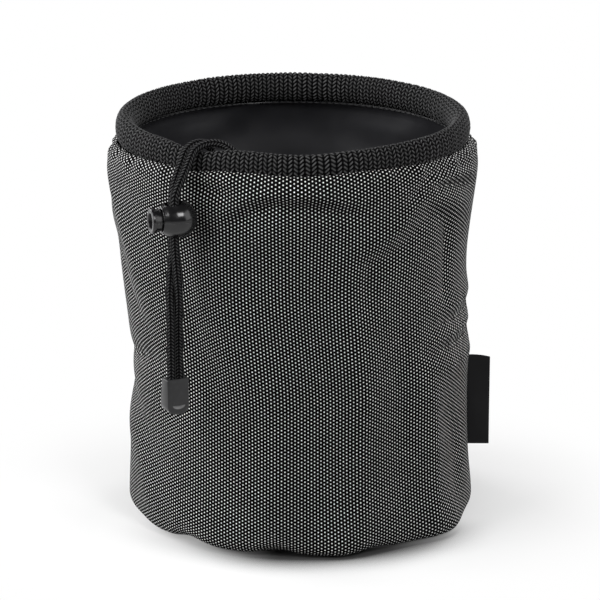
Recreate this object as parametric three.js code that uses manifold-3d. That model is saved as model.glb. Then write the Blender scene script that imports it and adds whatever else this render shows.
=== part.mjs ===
// Peg bag: a soft round cloth bag with a knitted rim, a drawcord, a push-button cord lock and a side label.
// Millimetres, +Z up. The origin is the centre of the base's underside, and the front faces -Y.
// Azimuths are degrees about +Z, from the front towards +X.
import * as THREE from 'three';
import { mergeVertices } from 'three/addons/utils/BufferGeometryUtils.js';
import Module from 'manifold-3d';

const wasm = await Module();
wasm.setup();

// Clearances
const SEAT_GAP = 0.3;
const CORD_CLEARANCE = 0.3;
const SOCKET_CLEARANCE = 0.7;
const HOOP_END_GAP = 0.8;

// Cloth bag
const BAG_HEIGHT = 182.5;
const WALL_CLOTH = 1.6;
const LINING_CLOTH = 0.8;
const BASE_RADIUS = 72.6;
const BASE_CREASE_RADIUS = 76;
const BASE_CREASE_HEIGHT = 3.2;
const HEM_LIFT = 0.5;
const BELLY_RADIUS = 76.9;
const BELLY_HEIGHT = 12;
const WAIST_RADIUS = 75.5;
const WAIST_HEIGHT = 55;
const FLARE_RADIUS = 77.4;
const FLARE_HEIGHT = 117;
const SHOULDER_RADIUS = 81.3;
const SHOULDER_HEIGHT = 156;
const SHOULDER_DROP = 6.5;
const CREASE_RADIUS = 80.7;
const CREASE_DROP = 1.8;
const NECK_CLOTH_SHARE = 0.8;
const AROUND = 48;
const ROWS_PER_SPAN = 2;

// Knitted rim
const RIM_RADIUS = 74.3;
const RIM_WIDTH = 8;
const RIM_TALL = 13;
const RIM_KNIT = 1.2;
const RIM_OVERLAP = 4.6;
const RIM_SIDES = 14;
const BORE_SIDES = 10;

// How the filled bag stands: it leans above its waist, and the cord presses the rim down
const LEAN = -3.2;
const LEAN_START = 65;
const LEAN_END = 125;
const CORD_AZIMUTH = -33.4;
const PRESS_DEPTH = 2.6;
const PRESS_SPREAD = 9;
const PRESS_START = 140;

// Drawcord. A route's points are [x, y, height above the rim's middle]
const CORD_DIAMETER = 3.4;
const CORD_SIDES = 8;
const CORD_STEP_DIAMETERS = 2.2;
const EXIT_STEP_DIAMETERS = 1.4;
const RIGHT_EXIT_AZIMUTH = -11;
const LEFT_EXIT_AZIMUTH = -53;
const TAIL_X = -53.46;
const TAIL_Y = -76.22;
const RIGHT_EXIT_ROUTE = [
  [-17.4, -72.9, 0.0],
  [-21.7, -71.6, 0.8],
  [-25.7, -69.2, 2.9],
  [-28.7, -66.5, 5.2],
  [-31.9, -64.5, 6.9],
  [-35.7, -63.7, 7.7],
  [-39.3, -63.9, 7.5],
  [-42.6, -65.0, 6.5],
  [-44.9, -66.6, 5.0],
];
const LEFT_EXIT_ROUTE = [
  [-62.5, -44.7, 0.0],
  [-58.9, -47.5, -0.4],
  [-54.4, -49.2, -1.5],
  [-49.6, -49.4, -3.2],
  [-44.8, -49.4, -4.4],
  [-40.6, -50.6, -3.8],
  [-38.0, -52.4, -1.2],
  [-37.8, -54.4, 2.3],
  [-39.6, -56.9, 5.2],
  [-42.5, -59.6, 6.8],
  [-45.7, -62.3, 6.6],
  [-48.0, -64.5, 5.0],
];
const RIGHT_TAIL_ROUTE = [
  RIGHT_EXIT_ROUTE.at(-1),
  [-46.1, -68.4, 3.1],
  [-47.4, -70.4, 0.2],
  [-48.8, -72.5, -2.8],
  [-50.3, -74.6, -5.8],
  [-51.7, -76.5, -8.8],
  [-52.7, -77.7, -11.6],
  [-52.9, -78.0, -14.5],
  [-52.9, -78.0, -23.0],
  [-52.9, -78.0, -32.0],
  [-52.6, -77.9, -39.0],
  [-52.1, -77.5, -46.0],
  [-51.7, -76.7, -53.0],
  [-51.6, -75.9, -60.0],
  [-51.8, -75.5, -67.0],
  [-51.8, -75.4, -74.0],
  [-51.8, -75.4, -82.0],
  [-51.8, -75.4, -89.5],
  [-51.8, -75.4, -96.9],
];
const LEFT_TAIL_ROUTE = [
  LEFT_EXIT_ROUTE.at(-1),
  [-49.2, -66.3, 3.1],
  [-50.3, -68.2, 0.2],
  [-51.5, -69.9, -2.8],
  [-52.5, -71.6, -5.8],
  [-53.4, -73.2, -8.8],
  [-53.9, -74.2, -11.6],
  [-54.0, -74.5, -14.5],
  [-54.0, -74.5, -23.0],
  [-54.0, -74.5, -32.0],
  [-54.3, -74.6, -39.0],
  [-54.8, -75.0, -46.0],
  [-55.3, -75.8, -53.0],
  [-55.3, -76.5, -60.0],
  [-55.1, -77.0, -67.0],
  [-55.1, -77.1, -74.0],
  [-55.1, -77.1, -82.0],
  [-55.1, -77.1, -89.5],
  [-55.1, -77.1, -96.9],
];

// Cord lock, in its own frame: the strands run along Z, and the button points along Y
const LOCK_BELOW_RIM = 22.3;
const LOCK_TURN = 108;
const BARREL_RADIUS = 8;
const BARREL_NOSE = 10.2;
const BARREL_FULLEST = 2;
const COLLAR_FACE = 5.6;
const COLLAR_RADIUS = 6.1;
const COLLAR_LIP = 0.4;
const COLLAR_NECK_RADIUS = 6.6;
const COLLAR_NECK = 1.8;
const NOSE_WALL = 1.9;
const SPRING_SEAT_RADIUS = 3.6;
const SPRING_SEAT_DEPTH = 3;
const STEM_RADIUS = 4.7;
const STEM_FIT = 0.3;
const STEM_BRIDGE = 1.2;
const STEM_TIP_RADIUS = 3.4;
const STEM_TIP_LENGTH = 2;
const BUTTON_TRAVEL = 2.4;
const BUTTON_RADIUS = 5.4;
const BUTTON_STAND_OFF = 2.9;
const BUTTON_THICKNESS = 1.8;
const BUTTON_EDGE = 0.5;
const BUTTON_DISH_RADIUS = 4.1;
const BUTTON_DISH_DEPTH = 0.6;
const LOCK_SIDES = 28;

// Spring in the barrel, a cone of wire
const SPRING_WIRE = 0.45;
const SPRING_TURNS = 2;
const SPRING_WIDE = 2.9;
const SPRING_NARROW = 1.7;
const TURN_STEPS = 8;
const WIRE_SIDES = 5;

// Cord end, in its own frame: width along X, depth along Y, hanging down from its top face
const END_BELOW_RIM = 92.7;
const END_TURN = 27;
const END_WIDTH = 10;
const END_LENGTH = 15.5;
const END_TOP_DEPTH = 5.4;
const END_FRONT_FLARE = 0.5;
const END_BACK_FLARE = 2.1;
const END_CORNER = 3.8;
const END_TOP_CORNER = 0.6;
const END_WALL = 1.1;
const END_TOP_WALL = 2;
const COVER_THICKNESS = 1.2;

// Side label, folded, standing out of the right seam
const LABEL_LOW = 27.5;
const LABEL_TALL = 42;
const LABEL_REACH = 9.3;
const LABEL_THICKNESS = 1.3;

const radians = THREE.MathUtils.degToRad;

// Shared vertices are joined, and triangles that closed up at an axis are dropped
function weld(geometry) {
  const bare = geometry.clone();
  bare.deleteAttribute('normal');
  bare.deleteAttribute('uv');
  const merged = mergeVertices(bare, 1e-4);
  const corners = Array.from(merged.index.array);
  const kept = [];
  for (let i = 0; i < corners.length; i += 3) {
    const [a, b, c] = corners.slice(i, i + 3);
    if (a !== b && b !== c && c !== a) kept.push(a, b, c);
  }
  merged.setIndex(kept);
  return merged;
}

function solidOf(geometry) {
  const welded = weld(geometry);
  return new wasm.Manifold(new wasm.Mesh({
    numProp: 3,
    vertProperties: new Float32Array(welded.attributes.position.array),
    triVerts: new Uint32Array(welded.index.array),
  }));
}

function geometryOf(solid) {
  const mesh = solid.getMesh();
  const geometry = new THREE.BufferGeometry();
  geometry.setAttribute('position', new THREE.BufferAttribute(mesh.vertProperties, 3));
  geometry.setIndex(new THREE.BufferAttribute(mesh.triVerts, 1));
  return geometry;
}

function cut(geometry, ...tools) {
  return geometryOf(tools.reduce((left, tool) => left.subtract(solidOf(tool)), solidOf(geometry)));
}

function join(geometry, other) {
  return geometryOf(solidOf(geometry).add(solidOf(other)));
}

function common(geometry, other) {
  return geometryOf(solidOf(geometry).intersect(solidOf(other)));
}

// A ring or disc turned about Z from [radius, height] points that run anticlockwise
function turned(outline, segments) {
  const points = outline.map(([radius, height]) => new THREE.Vector2(radius, height));
  return new THREE.LatheGeometry(points, segments).rotateX(Math.PI / 2);
}

function closed(outline) {
  return [...outline, outline[0]];
}

// The lean of the whole bag and the dip under the cord, as a shift of one point
function drape(point) {
  const azimuth = THREE.MathUtils.radToDeg(Math.atan2(point.x, -point.y));
  const aside = (azimuth - CORD_AZIMUTH) / PRESS_SPREAD;
  const raised = THREE.MathUtils.smoothstep(point.z, PRESS_START, BAG_HEIGHT - RIM_TALL);
  const lean = LEAN * THREE.MathUtils.smoothstep(point.z, LEAN_START, LEAN_END);
  return new THREE.Vector3(
    point.x + lean,
    point.y,
    point.z - PRESS_DEPTH * Math.exp(-aside * aside) * raised,
  );
}

function draped(geometry) {
  const places = geometry.attributes.position;
  const point = new THREE.Vector3();
  for (let i = 0; i < places.count; i += 1) {
    const moved = drape(point.fromBufferAttribute(places, i));
    places.setXYZ(i, moved.x, moved.y, moved.z);
  }
  return geometry;
}

// The rim's section is an ellipse, and the wall's top edge meets its outer flank
const rimHeight = BAG_HEIGHT - RIM_TALL / 2;
const neckHeight = BAG_HEIGHT - RIM_TALL + RIM_OVERLAP;
const neckShare = (rimHeight - neckHeight) / (RIM_TALL / 2);
const rimFlank = RIM_RADIUS + (RIM_WIDTH / 2) * Math.sqrt(1 - neckShare * neckShare);
const neckRadius = rimFlank + SEAT_GAP + NECK_CLOTH_SHARE * WALL_CLOTH;

const wallFace = new THREE.SplineCurve([
  new THREE.Vector2(BASE_RADIUS, HEM_LIFT),
  new THREE.Vector2(BASE_CREASE_RADIUS, BASE_CREASE_HEIGHT),
  new THREE.Vector2(BELLY_RADIUS, BELLY_HEIGHT),
  new THREE.Vector2(WAIST_RADIUS, WAIST_HEIGHT),
  new THREE.Vector2(FLARE_RADIUS, FLARE_HEIGHT),
  new THREE.Vector2(SHOULDER_RADIUS, SHOULDER_HEIGHT),
  new THREE.Vector2(SHOULDER_RADIUS, neckHeight - SHOULDER_DROP),
  new THREE.Vector2(CREASE_RADIUS, neckHeight - CREASE_DROP),
  new THREE.Vector2(neckRadius, neckHeight),
]);
const wallSpans = wallFace.points.length - 1;

// Points of the wall's outside face, moved in by a depth, over some of its spans
function wallLine(depth, spans) {
  const line = [];
  for (let row = 0; row <= spans * ROWS_PER_SPAN; row += 1) {
    const share = row / (wallSpans * ROWS_PER_SPAN);
    const place = wallFace.getPoint(share);
    const along = wallFace.getTangent(share);
    line.push([place.x - along.y * depth, place.y + along.x * depth]);
  }
  return line;
}

function clothTube(outside, inside, spans) {
  const outline = [...wallLine(outside, spans), ...wallLine(inside, spans).reverse()];
  return draped(turned(closed(outline), AROUND));
}

function disc(radius, low, high) {
  return turned([[0, low], [radius, low], [radius, high], [0, high]], AROUND);
}

const liningDepth = WALL_CLOTH + SEAT_GAP;
const liningSpans = wallSpans - 2;
const outerWall = clothTube(0, WALL_CLOTH, wallSpans);
const wallLining = clothTube(liningDepth, liningDepth + LINING_CLOTH, liningSpans);
const baseRadius = wallLine(WALL_CLOTH, 1)[0][0] - SEAT_GAP;
const basePanel = disc(baseRadius, 0, WALL_CLOTH);
const liningRadius = wallLine(liningDepth + LINING_CLOTH, 1)[0][0] - SEAT_GAP;
const baseLining = disc(liningRadius, liningDepth, liningDepth + LINING_CLOTH);

function rimOutline(inset, sides) {
  const outline = [];
  for (let side = 0; side < sides; side += 1) {
    const angle = (2 * Math.PI * side) / sides;
    outline.push([
      RIM_RADIUS + (RIM_WIDTH / 2 - inset) * Math.cos(angle),
      rimHeight + (RIM_TALL / 2 - inset) * Math.sin(angle),
    ]);
  }
  return closed(outline);
}

// A many-sided section for cords, wire and fillers
function section(radius, sides) {
  const shape = new THREE.Shape();
  const corners = [];
  for (let side = 0; side < sides; side += 1) {
    const angle = (2 * Math.PI * side) / sides;
    corners.push(new THREE.Vector2(radius * Math.cos(angle), radius * Math.sin(angle)));
  }
  return shape.setFromPoints(corners);
}

function cordAlong(points, radius, stepLength) {
  const path = new THREE.CatmullRomCurve3(points);
  const steps = Math.round(path.getLength() / stepLength);
  return new THREE.ExtrudeGeometry(section(radius, CORD_SIDES), { steps, extrudePath: path });
}

function vectors(route) {
  return route.map(([x, y, rise]) => new THREE.Vector3(x, y, rimHeight + rise));
}

const cordRadius = CORD_DIAMETER / 2;
const cordStep = CORD_STEP_DIAMETERS * CORD_DIAMETER;
const exitStep = EXIT_STEP_DIAMETERS * CORD_DIAMETER;
const rightExit = vectors(RIGHT_EXIT_ROUTE);
const leftExit = vectors(LEFT_EXIT_ROUTE);

// The knitted rim is hollow, and each end of the drawcord leaves it through a hole in its inner side
const exitHoles = [rightExit, leftExit].map(
  (route) => cordAlong(route, cordRadius + CORD_CLEARANCE, exitStep),
);
const rimChannel = cut(
  draped(turned(rimOutline(0, RIM_SIDES), AROUND)),
  draped(turned(rimOutline(RIM_KNIT, BORE_SIDES), AROUND)),
  ...exitHoles,
);

// The drawcord goes right round the mouth, from the right hole to the left one
function hoopRoute() {
  const gapTurn = THREE.MathUtils.radToDeg(HOOP_END_GAP / RIM_RADIUS);
  const start = RIGHT_EXIT_AZIMUTH + gapTurn;
  const end = 360 + LEFT_EXIT_AZIMUTH - gapTurn;
  const count = Math.round((radians(end - start) * RIM_RADIUS) / cordStep);
  const route = [];
  for (let i = 0; i <= count; i += 1) {
    const azimuth = radians(start + ((end - start) * i) / count);
    const place = [RIM_RADIUS * Math.sin(azimuth), -RIM_RADIUS * Math.cos(azimuth), rimHeight];
    route.push(drape(new THREE.Vector3(...place)));
  }
  return route;
}

const drawcordHoop = cordAlong(hoopRoute(), cordRadius, cordStep);

// Each hanging strand starts in a ball, which turns in a hollow in the end of the strand over the rim
function ball(place, radius) {
  return new THREE.SphereGeometry(radius, 16, 10).translate(place.x, place.y, place.z);
}

function exitStrand(route) {
  return cut(
    cordAlong(route, cordRadius, exitStep),
    ball(route.at(-1), cordRadius + SOCKET_CLEARANCE),
  );
}

function tailStrand(route) {
  return join(cordAlong(route, cordRadius, cordStep), ball(route[0], cordRadius));
}

// Cord lock: the barrel, with a hole for the pair of strands and a bore for the button
const pairRadius = CORD_DIAMETER + SEAT_GAP / 2;
const cordHoleRadius = pairRadius + CORD_CLEARANCE;
const boreRadius = STEM_RADIUS + STEM_FIT;
const boreFloor = NOSE_WALL - BARREL_NOSE;
const boreStep = boreFloor + SPRING_SEAT_DEPTH;

function barrelOutline() {
  const outline = [];
  const noseLength = BARREL_NOSE - BARREL_FULLEST;
  const noseSteps = 7;
  for (let step = 0; step <= noseSteps; step += 1) {
    const angle = (Math.PI * step) / (2 * noseSteps);
    outline.push([BARREL_RADIUS * Math.sin(angle), -BARREL_FULLEST - noseLength * Math.cos(angle)]);
  }
  const flank = new THREE.SplineCurve([
    new THREE.Vector2(BARREL_RADIUS, -BARREL_FULLEST),
    new THREE.Vector2((BARREL_RADIUS + COLLAR_NECK_RADIUS) / 2, COLLAR_FACE - 2 * COLLAR_NECK),
    new THREE.Vector2(COLLAR_NECK_RADIUS, COLLAR_FACE - COLLAR_NECK),
    new THREE.Vector2(COLLAR_RADIUS, COLLAR_FACE - COLLAR_LIP),
  ]);
  flank.getPoints(9).slice(1).forEach((point) => outline.push([point.x, point.y]));
  outline.push(
    [COLLAR_RADIUS - COLLAR_LIP, COLLAR_FACE],
    [boreRadius, COLLAR_FACE],
    [boreRadius, boreStep],
    [SPRING_SEAT_RADIUS, boreFloor],
    [0, boreFloor],
  );
  return outline;
}

// Turned about Y, the lock's own axis
function lockTurned(outline) {
  return new THREE.LatheGeometry(outline.map(([x, y]) => new THREE.Vector2(x, y)), LOCK_SIDES);
}

function lockBarrel() {
  const hole = new THREE.CylinderGeometry(
    cordHoleRadius,
    cordHoleRadius,
    4 * BARREL_RADIUS,
    LOCK_SIDES,
  );
  return cut(lockTurned(barrelOutline()), hole.rotateX(Math.PI / 2));
}

// The button's stem has a slot that stays round the strands over its whole travel
const stemEnd = -cordHoleRadius - STEM_BRIDGE;

function lockButton() {
  const back = COLLAR_FACE + BUTTON_STAND_OFF;
  const front = back + BUTTON_THICKNESS;
  const outline = [
    [0, stemEnd],
    [STEM_TIP_RADIUS, stemEnd],
    [STEM_RADIUS, stemEnd + STEM_TIP_LENGTH],
    [STEM_RADIUS, back],
    [BUTTON_RADIUS - BUTTON_EDGE, back],
    [BUTTON_RADIUS, back + BUTTON_EDGE],
    [BUTTON_RADIUS, front - BUTTON_EDGE],
    [BUTTON_RADIUS - BUTTON_EDGE, front],
    [BUTTON_DISH_RADIUS, front],
    [BUTTON_DISH_RADIUS - BUTTON_EDGE, front - BUTTON_DISH_DEPTH],
    [0, front - BUTTON_DISH_DEPTH],
  ];
  const slot = new THREE.Shape();
  slot.absarc(0, 0, cordHoleRadius, Math.PI, 2 * Math.PI);
  slot.absarc(0, BUTTON_TRAVEL, cordHoleRadius, 0, Math.PI);
  const cutter = new THREE.ExtrudeGeometry(slot, {
    depth: 4 * STEM_RADIUS,
    bevelEnabled: false,
    curveSegments: LOCK_SIDES / 2,
  });
  return cut(lockTurned(outline), cutter.translate(0, 0, -2 * STEM_RADIUS));
}

// The spring's coils widen towards the button, so that they close inside each other
class ConeCoil extends THREE.Curve {
  constructor(low, high) {
    super();
    this.low = low;
    this.high = high;
  }

  getPoint(share, target = new THREE.Vector3()) {
    const angle = 2 * Math.PI * SPRING_TURNS * share;
    const radius = THREE.MathUtils.lerp(SPRING_NARROW, SPRING_WIDE, share);
    const place = THREE.MathUtils.lerp(this.low, this.high, share);
    return target.set(radius * Math.cos(angle), place, radius * Math.sin(angle));
  }
}

const springRest = SEAT_GAP + SPRING_WIRE / 2;
const coil = new ConeCoil(boreFloor + springRest, stemEnd - springRest);

function lockSpring() {
  return new THREE.ExtrudeGeometry(section(SPRING_WIRE / 2, WIRE_SIDES), {
    steps: SPRING_TURNS * TURN_STEPS,
    extrudePath: coil,
  });
}

// The least gap between one coil of the spring and the next
function coilGap() {
  const points = coil.getSpacedPoints(200);
  const away = (4 * SPRING_WIRE * points.length) / coil.getLength();
  let least = Infinity;
  for (let i = 0; i < points.length; i += 1) {
    for (let j = i + Math.ceil(away); j < points.length; j += 1) {
      least = Math.min(least, points[i].distanceTo(points[j]));
    }
  }
  return least - SPRING_WIRE;
}

// Cord end: a wedge with round lower corners, hollow for the knot, closed by a cover at its back
const endFrontTop = -END_TOP_DEPTH / 2;
const endFrontLow = endFrontTop - END_FRONT_FLARE;

function endBack(height) {
  return END_TOP_DEPTH / 2 - (END_BACK_FLARE * height) / END_LENGTH;
}

// Extruded along X from [depth, height] points
function acrossWidth(outline, width) {
  const shape = new THREE.Shape(outline.map(([depth, height]) => new THREE.Vector2(depth, height)));
  const geometry = new THREE.ExtrudeGeometry(shape, { depth: width, bevelEnabled: false });
  geometry.translate(0, 0, -width / 2);
  return geometry.rotateX(Math.PI / 2).rotateZ(Math.PI / 2);
}

function roundedFront(halfWidth, low, lowCorner, topCorner) {
  const shape = new THREE.Shape();
  shape.moveTo(-halfWidth + lowCorner, low);
  shape.lineTo(halfWidth - lowCorner, low);
  shape.absarc(halfWidth - lowCorner, low + lowCorner, lowCorner, -Math.PI / 2, 0);
  shape.lineTo(halfWidth, -topCorner);
  shape.absarc(halfWidth - topCorner, -topCorner, topCorner, 0, Math.PI / 2);
  shape.lineTo(-halfWidth + topCorner, 0);
  shape.absarc(-halfWidth + topCorner, -topCorner, topCorner, Math.PI / 2, Math.PI);
  shape.lineTo(-halfWidth, low + lowCorner);
  shape.absarc(-halfWidth + lowCorner, low + lowCorner, lowCorner, Math.PI, 1.5 * Math.PI);
  return shape;
}

const cavityHalfWidth = END_WIDTH / 2 - END_WALL;
const cavityLow = -END_LENGTH + END_WALL;
const cavityFront = endFrontTop + END_WALL - CORD_CLEARANCE;

function cordEndShell() {
  const deep = 4 * END_TOP_DEPTH;
  const front = new THREE.ExtrudeGeometry(
    roundedFront(END_WIDTH / 2, -END_LENGTH, END_CORNER, END_TOP_CORNER),
    { depth: deep, bevelEnabled: false, curveSegments: 6 },
  );
  front.translate(0, 0, -deep / 2).rotateX(Math.PI / 2);
  const wedge = acrossWidth(
    [
      [endFrontTop, 0],
      [endFrontLow, -END_LENGTH],
      [endBack(-END_LENGTH), -END_LENGTH],
      [endBack(0), 0],
    ],
    2 * END_WIDTH,
  );
  const cavity = acrossWidth(
    [
      [cavityFront, -END_TOP_WALL],
      [cavityFront, cavityLow],
      [deep, cavityLow],
      [deep, -END_TOP_WALL],
    ],
    2 * cavityHalfWidth,
  );
  const slot = new THREE.Shape();
  const slotRadius = cordRadius + CORD_CLEARANCE;
  const slotReach = cordHoleRadius - slotRadius;
  slot.absarc(slotReach, 0, slotRadius, -Math.PI / 2, Math.PI / 2);
  slot.absarc(-slotReach, 0, slotRadius, Math.PI / 2, 1.5 * Math.PI);
  const entry = new THREE.ExtrudeGeometry(slot, { depth: 3 * END_TOP_WALL, bevelEnabled: false });
  entry.translate(0, 0, -2 * END_TOP_WALL);
  return cut(common(wedge, front), cavity, entry);
}

function cordEndCover() {
  const top = -END_TOP_WALL - SEAT_GAP;
  const low = cavityLow + SEAT_GAP;
  return acrossWidth(
    [
      [endBack(top) - COVER_THICKNESS, top],
      [endBack(low) - COVER_THICKNESS, low],
      [endBack(low), low],
      [endBack(top), top],
    ],
    2 * (cavityHalfWidth - SEAT_GAP),
  );
}

function cordKnot() {
  const strandEnd = RIGHT_TAIL_ROUTE.at(-1)[2] + END_BELOW_RIM;
  const high = strandEnd - SEAT_GAP;
  const low = cavityLow + SEAT_GAP;
  const front = cavityFront + SEAT_GAP;
  const back = endBack(high) - COVER_THICKNESS - SEAT_GAP;
  const knot = new THREE.SphereGeometry(1, 16, 10).rotateX(Math.PI / 2);
  knot.scale(cavityHalfWidth - SEAT_GAP, (back - front) / 2, (high - low) / 2);
  return knot.translate(0, (front + back) / 2, (high + low) / 2);
}

// The label's inner edge is round about the seam, where it bends
function sideLabel() {
  const half = LABEL_THICKNESS / 2;
  const shape = new THREE.Shape();
  shape.absarc(0, 0, half, Math.PI / 2, 1.5 * Math.PI);
  shape.absarc(LABEL_REACH - LABEL_THICKNESS, 0, half, -Math.PI / 2, Math.PI / 2);
  return new THREE.ExtrudeGeometry(shape, { depth: LABEL_TALL, bevelEnabled: false, curveSegments: 6 });
}

function labelSeat() {
  const beside = wallLine(0, wallSpans).filter(
    ([, height]) => height > LABEL_LOW - BELLY_HEIGHT && height < LABEL_LOW + LABEL_TALL,
  );
  return Math.max(...beside.map(([radius]) => radius)) + SEAT_GAP + LABEL_THICKNESS / 2;
}

// Finishes
function finish(color, roughness, metalness = 0) {
  return new THREE.MeshStandardMaterial({ color, roughness, metalness });
}

const wovenCloth = () => finish(0x3c3c3d, 0.9);
const coatedLining = () => finish(0x26262a, 0.55);
const knitCloth = () => finish(0x202022, 0.95);
const cordKnit = () => finish(0x18181a, 0.9);
const glossPlastic = () => finish(0x141416, 0.25);
const satinPlastic = () => finish(0x4a4a4c, 0.5);
const springSteel = () => finish(0x9a9a9c, 0.35, 1);
const labelWeave = () => finish(0x121214, 0.8);

const bag = new THREE.Group();

function add(parent, name, geometry, material) {
  const mesh = new THREE.Mesh(weld(geometry), material);
  mesh.name = name;
  parent.add(mesh);
}

add(bag, 'outer_wall', outerWall, wovenCloth());
add(bag, 'base_panel', basePanel, wovenCloth());
add(bag, 'wall_lining', wallLining, coatedLining());
add(bag, 'base_lining', baseLining, coatedLining());
add(bag, 'rim_channel', rimChannel, knitCloth());
add(bag, 'drawcord_hoop', drawcordHoop, cordKnit());
add(bag, 'right_exit_strand', exitStrand(rightExit), cordKnit());
add(bag, 'left_exit_strand', exitStrand(leftExit), cordKnit());
add(bag, 'right_tail_strand', tailStrand(vectors(RIGHT_TAIL_ROUTE)), cordKnit());
add(bag, 'left_tail_strand', tailStrand(vectors(LEFT_TAIL_ROUTE)), cordKnit());

const lock = new THREE.Group();
lock.position.set(TAIL_X, TAIL_Y, rimHeight - LOCK_BELOW_RIM);
lock.rotation.z = radians(LOCK_TURN);
add(lock, 'lock_barrel', lockBarrel(), glossPlastic());
add(lock, 'lock_button', lockButton(), glossPlastic());
add(lock, 'lock_spring', lockSpring(), springSteel());
bag.add(lock);
console.log(`least gap between the spring's coils: ${coilGap().toFixed(2)} mm`);

const cordEnd = new THREE.Group();
cordEnd.position.set(TAIL_X, TAIL_Y, rimHeight - END_BELOW_RIM);
cordEnd.rotation.z = radians(END_TURN);
add(cordEnd, 'cord_end_shell', cordEndShell(), satinPlastic());
add(cordEnd, 'cord_end_cover', cordEndCover(), satinPlastic());
add(cordEnd, 'cord_knot', cordKnot(), cordKnit());
bag.add(cordEnd);

const label = new THREE.Group();
label.position.set(labelSeat(), 0, LABEL_LOW);
add(label, 'side_label', sideLabel(), labelWeave());
bag.add(label);

export default bag;
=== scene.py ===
# %% [markdown]
# # A cloth bag with a drawcord
# The bag is a sewn tube of two-tone cloth with a knitted rim. A drawcord leaves the rim, hangs down the
# front through a push-button lock and ends in a moulded tag. The solids come packed from the part's source
# and give the sizes, the places and the moving bodies. This script dresses them: it makes the cloth, the
# knit, the cord and the small mouldings as fine meshes in the same frame, in metres, and gives each its
# finish.

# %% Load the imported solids
import math

import bmesh
import bpy
import numpy as np
from mathutils import Matrix, Vector


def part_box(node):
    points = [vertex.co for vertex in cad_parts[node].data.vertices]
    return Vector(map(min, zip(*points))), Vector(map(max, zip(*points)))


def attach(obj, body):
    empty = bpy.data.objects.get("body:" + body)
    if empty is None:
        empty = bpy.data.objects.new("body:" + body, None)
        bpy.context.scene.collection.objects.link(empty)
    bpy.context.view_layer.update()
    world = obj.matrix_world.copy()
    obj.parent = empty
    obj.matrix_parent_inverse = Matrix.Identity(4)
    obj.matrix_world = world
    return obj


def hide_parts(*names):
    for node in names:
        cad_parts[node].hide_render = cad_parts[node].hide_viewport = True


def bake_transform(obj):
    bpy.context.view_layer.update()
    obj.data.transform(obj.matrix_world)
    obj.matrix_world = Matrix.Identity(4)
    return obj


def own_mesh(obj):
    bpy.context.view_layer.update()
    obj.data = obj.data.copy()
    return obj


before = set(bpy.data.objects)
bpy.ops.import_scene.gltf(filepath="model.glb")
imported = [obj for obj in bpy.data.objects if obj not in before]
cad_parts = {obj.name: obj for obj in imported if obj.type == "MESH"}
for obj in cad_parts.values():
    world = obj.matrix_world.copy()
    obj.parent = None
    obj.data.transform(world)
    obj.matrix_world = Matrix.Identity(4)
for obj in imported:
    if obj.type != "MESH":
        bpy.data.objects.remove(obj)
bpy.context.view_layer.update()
print("solids:", ", ".join(sorted(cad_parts)))

# %% [markdown]
# ## The camera comes first
# The photograph looks slightly down on the bag from far away, so its verticals stay upright and the mouth
# is a flat ellipse. A long lens from one and a half metres gives the same view. Everything that follows is
# judged through this camera.

# %% Camera
CAMERA_PLACE = (0.0, -1.5, 0.546)
CAMERA_AIM = (0.0, 0.0, 0.0952)
CAMERA_LENS_MM = 209.5
CAMERA_SENSOR_MM = 36.0


def add_object(name, data):
    """Puts a mesh, a lamp or a camera into the scene as an object."""
    added = bpy.data.objects.new(name, data)
    bpy.context.collection.objects.link(added)
    return added


def point_at(thing, place, aim):
    """Puts a camera or a lamp at its place and turns it to its aim."""
    thing.location = place
    thing.rotation_euler = (Vector(aim) - Vector(place)).to_track_quat("-Z", "Y").to_euler()


def photo_camera():
    data = bpy.data.cameras.new("photo_camera")
    data.lens = CAMERA_LENS_MM
    data.sensor_width = CAMERA_SENSOR_MM
    camera = add_object("photo_camera", data)
    point_at(camera, CAMERA_PLACE, CAMERA_AIM)
    bpy.context.scene.camera = camera
    return camera


print("camera:", photo_camera().name, "lens", CAMERA_LENS_MM, "mm")

# %% [markdown]
# ## Helpers for cloth-like meshes
# Cloth, knit and cord are all grids of points that close on themselves, so the same functions build them.
# They also lay a UV map in real metres along the cloth. A weave that reads this map keeps its true pitch
# and follows every fold, which flat Object coordinates can't do.

# %% Curves
MM = 0.001
CURVE_STEPS = 40


def lengths_along(points, close=True):
    """Distances along a line of points, from 0 back to its start, or to its end if it stays open."""
    line = np.vstack([points, points[:1]]) if close else points
    return np.concatenate([[0], np.cumsum(np.linalg.norm(np.diff(line, axis=0), axis=1))])


def smooth_line(points, count):
    """A Catmull-Rom curve through the points, as count points that lie evenly along it."""
    knots = np.asarray(points, float)
    ends = np.vstack([2 * knots[0] - knots[1], knots, 2 * knots[-1] - knots[-2]])
    share = np.linspace(0, 1, CURVE_STEPS, endpoint=False)[:, None]
    runs = []
    for a, b, c, d in zip(ends, ends[1:], ends[2:], ends[3:]):
        bend = (2 * a - 5 * b + 4 * c - d) * share**2 + (3 * b - a - 3 * c + d) * share**3
        runs.append(b + 0.5 * ((c - a) * share + bend))
    fine = np.vstack([*runs, knots[-1:]])
    length = lengths_along(fine, False)
    even = np.linspace(0, length[-1], count)
    return np.stack([np.interp(even, length, fine[:, k]) for k in range(fine.shape[1])], axis=1)


def smoothstep(value, low, high):
    share = np.clip((value - low) / (high - low), 0, 1)
    return share * share * (3 - 2 * share)


def bell(value, spread):
    return np.exp(-((value / spread) ** 2))


def ripple(turn, waves):
    """A sum of cosine waves, each given as its count once round, its phase and its share."""
    return sum(share * np.cos(count * turn + phase) for count, phase, share in waves)


print("a curve has", CURVE_STEPS, "steps between two of its points")

# %% Grids
def shade_smooth(mesh):
    mesh.polygons.foreach_set("use_smooth", [True] * len(mesh.polygons))


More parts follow.
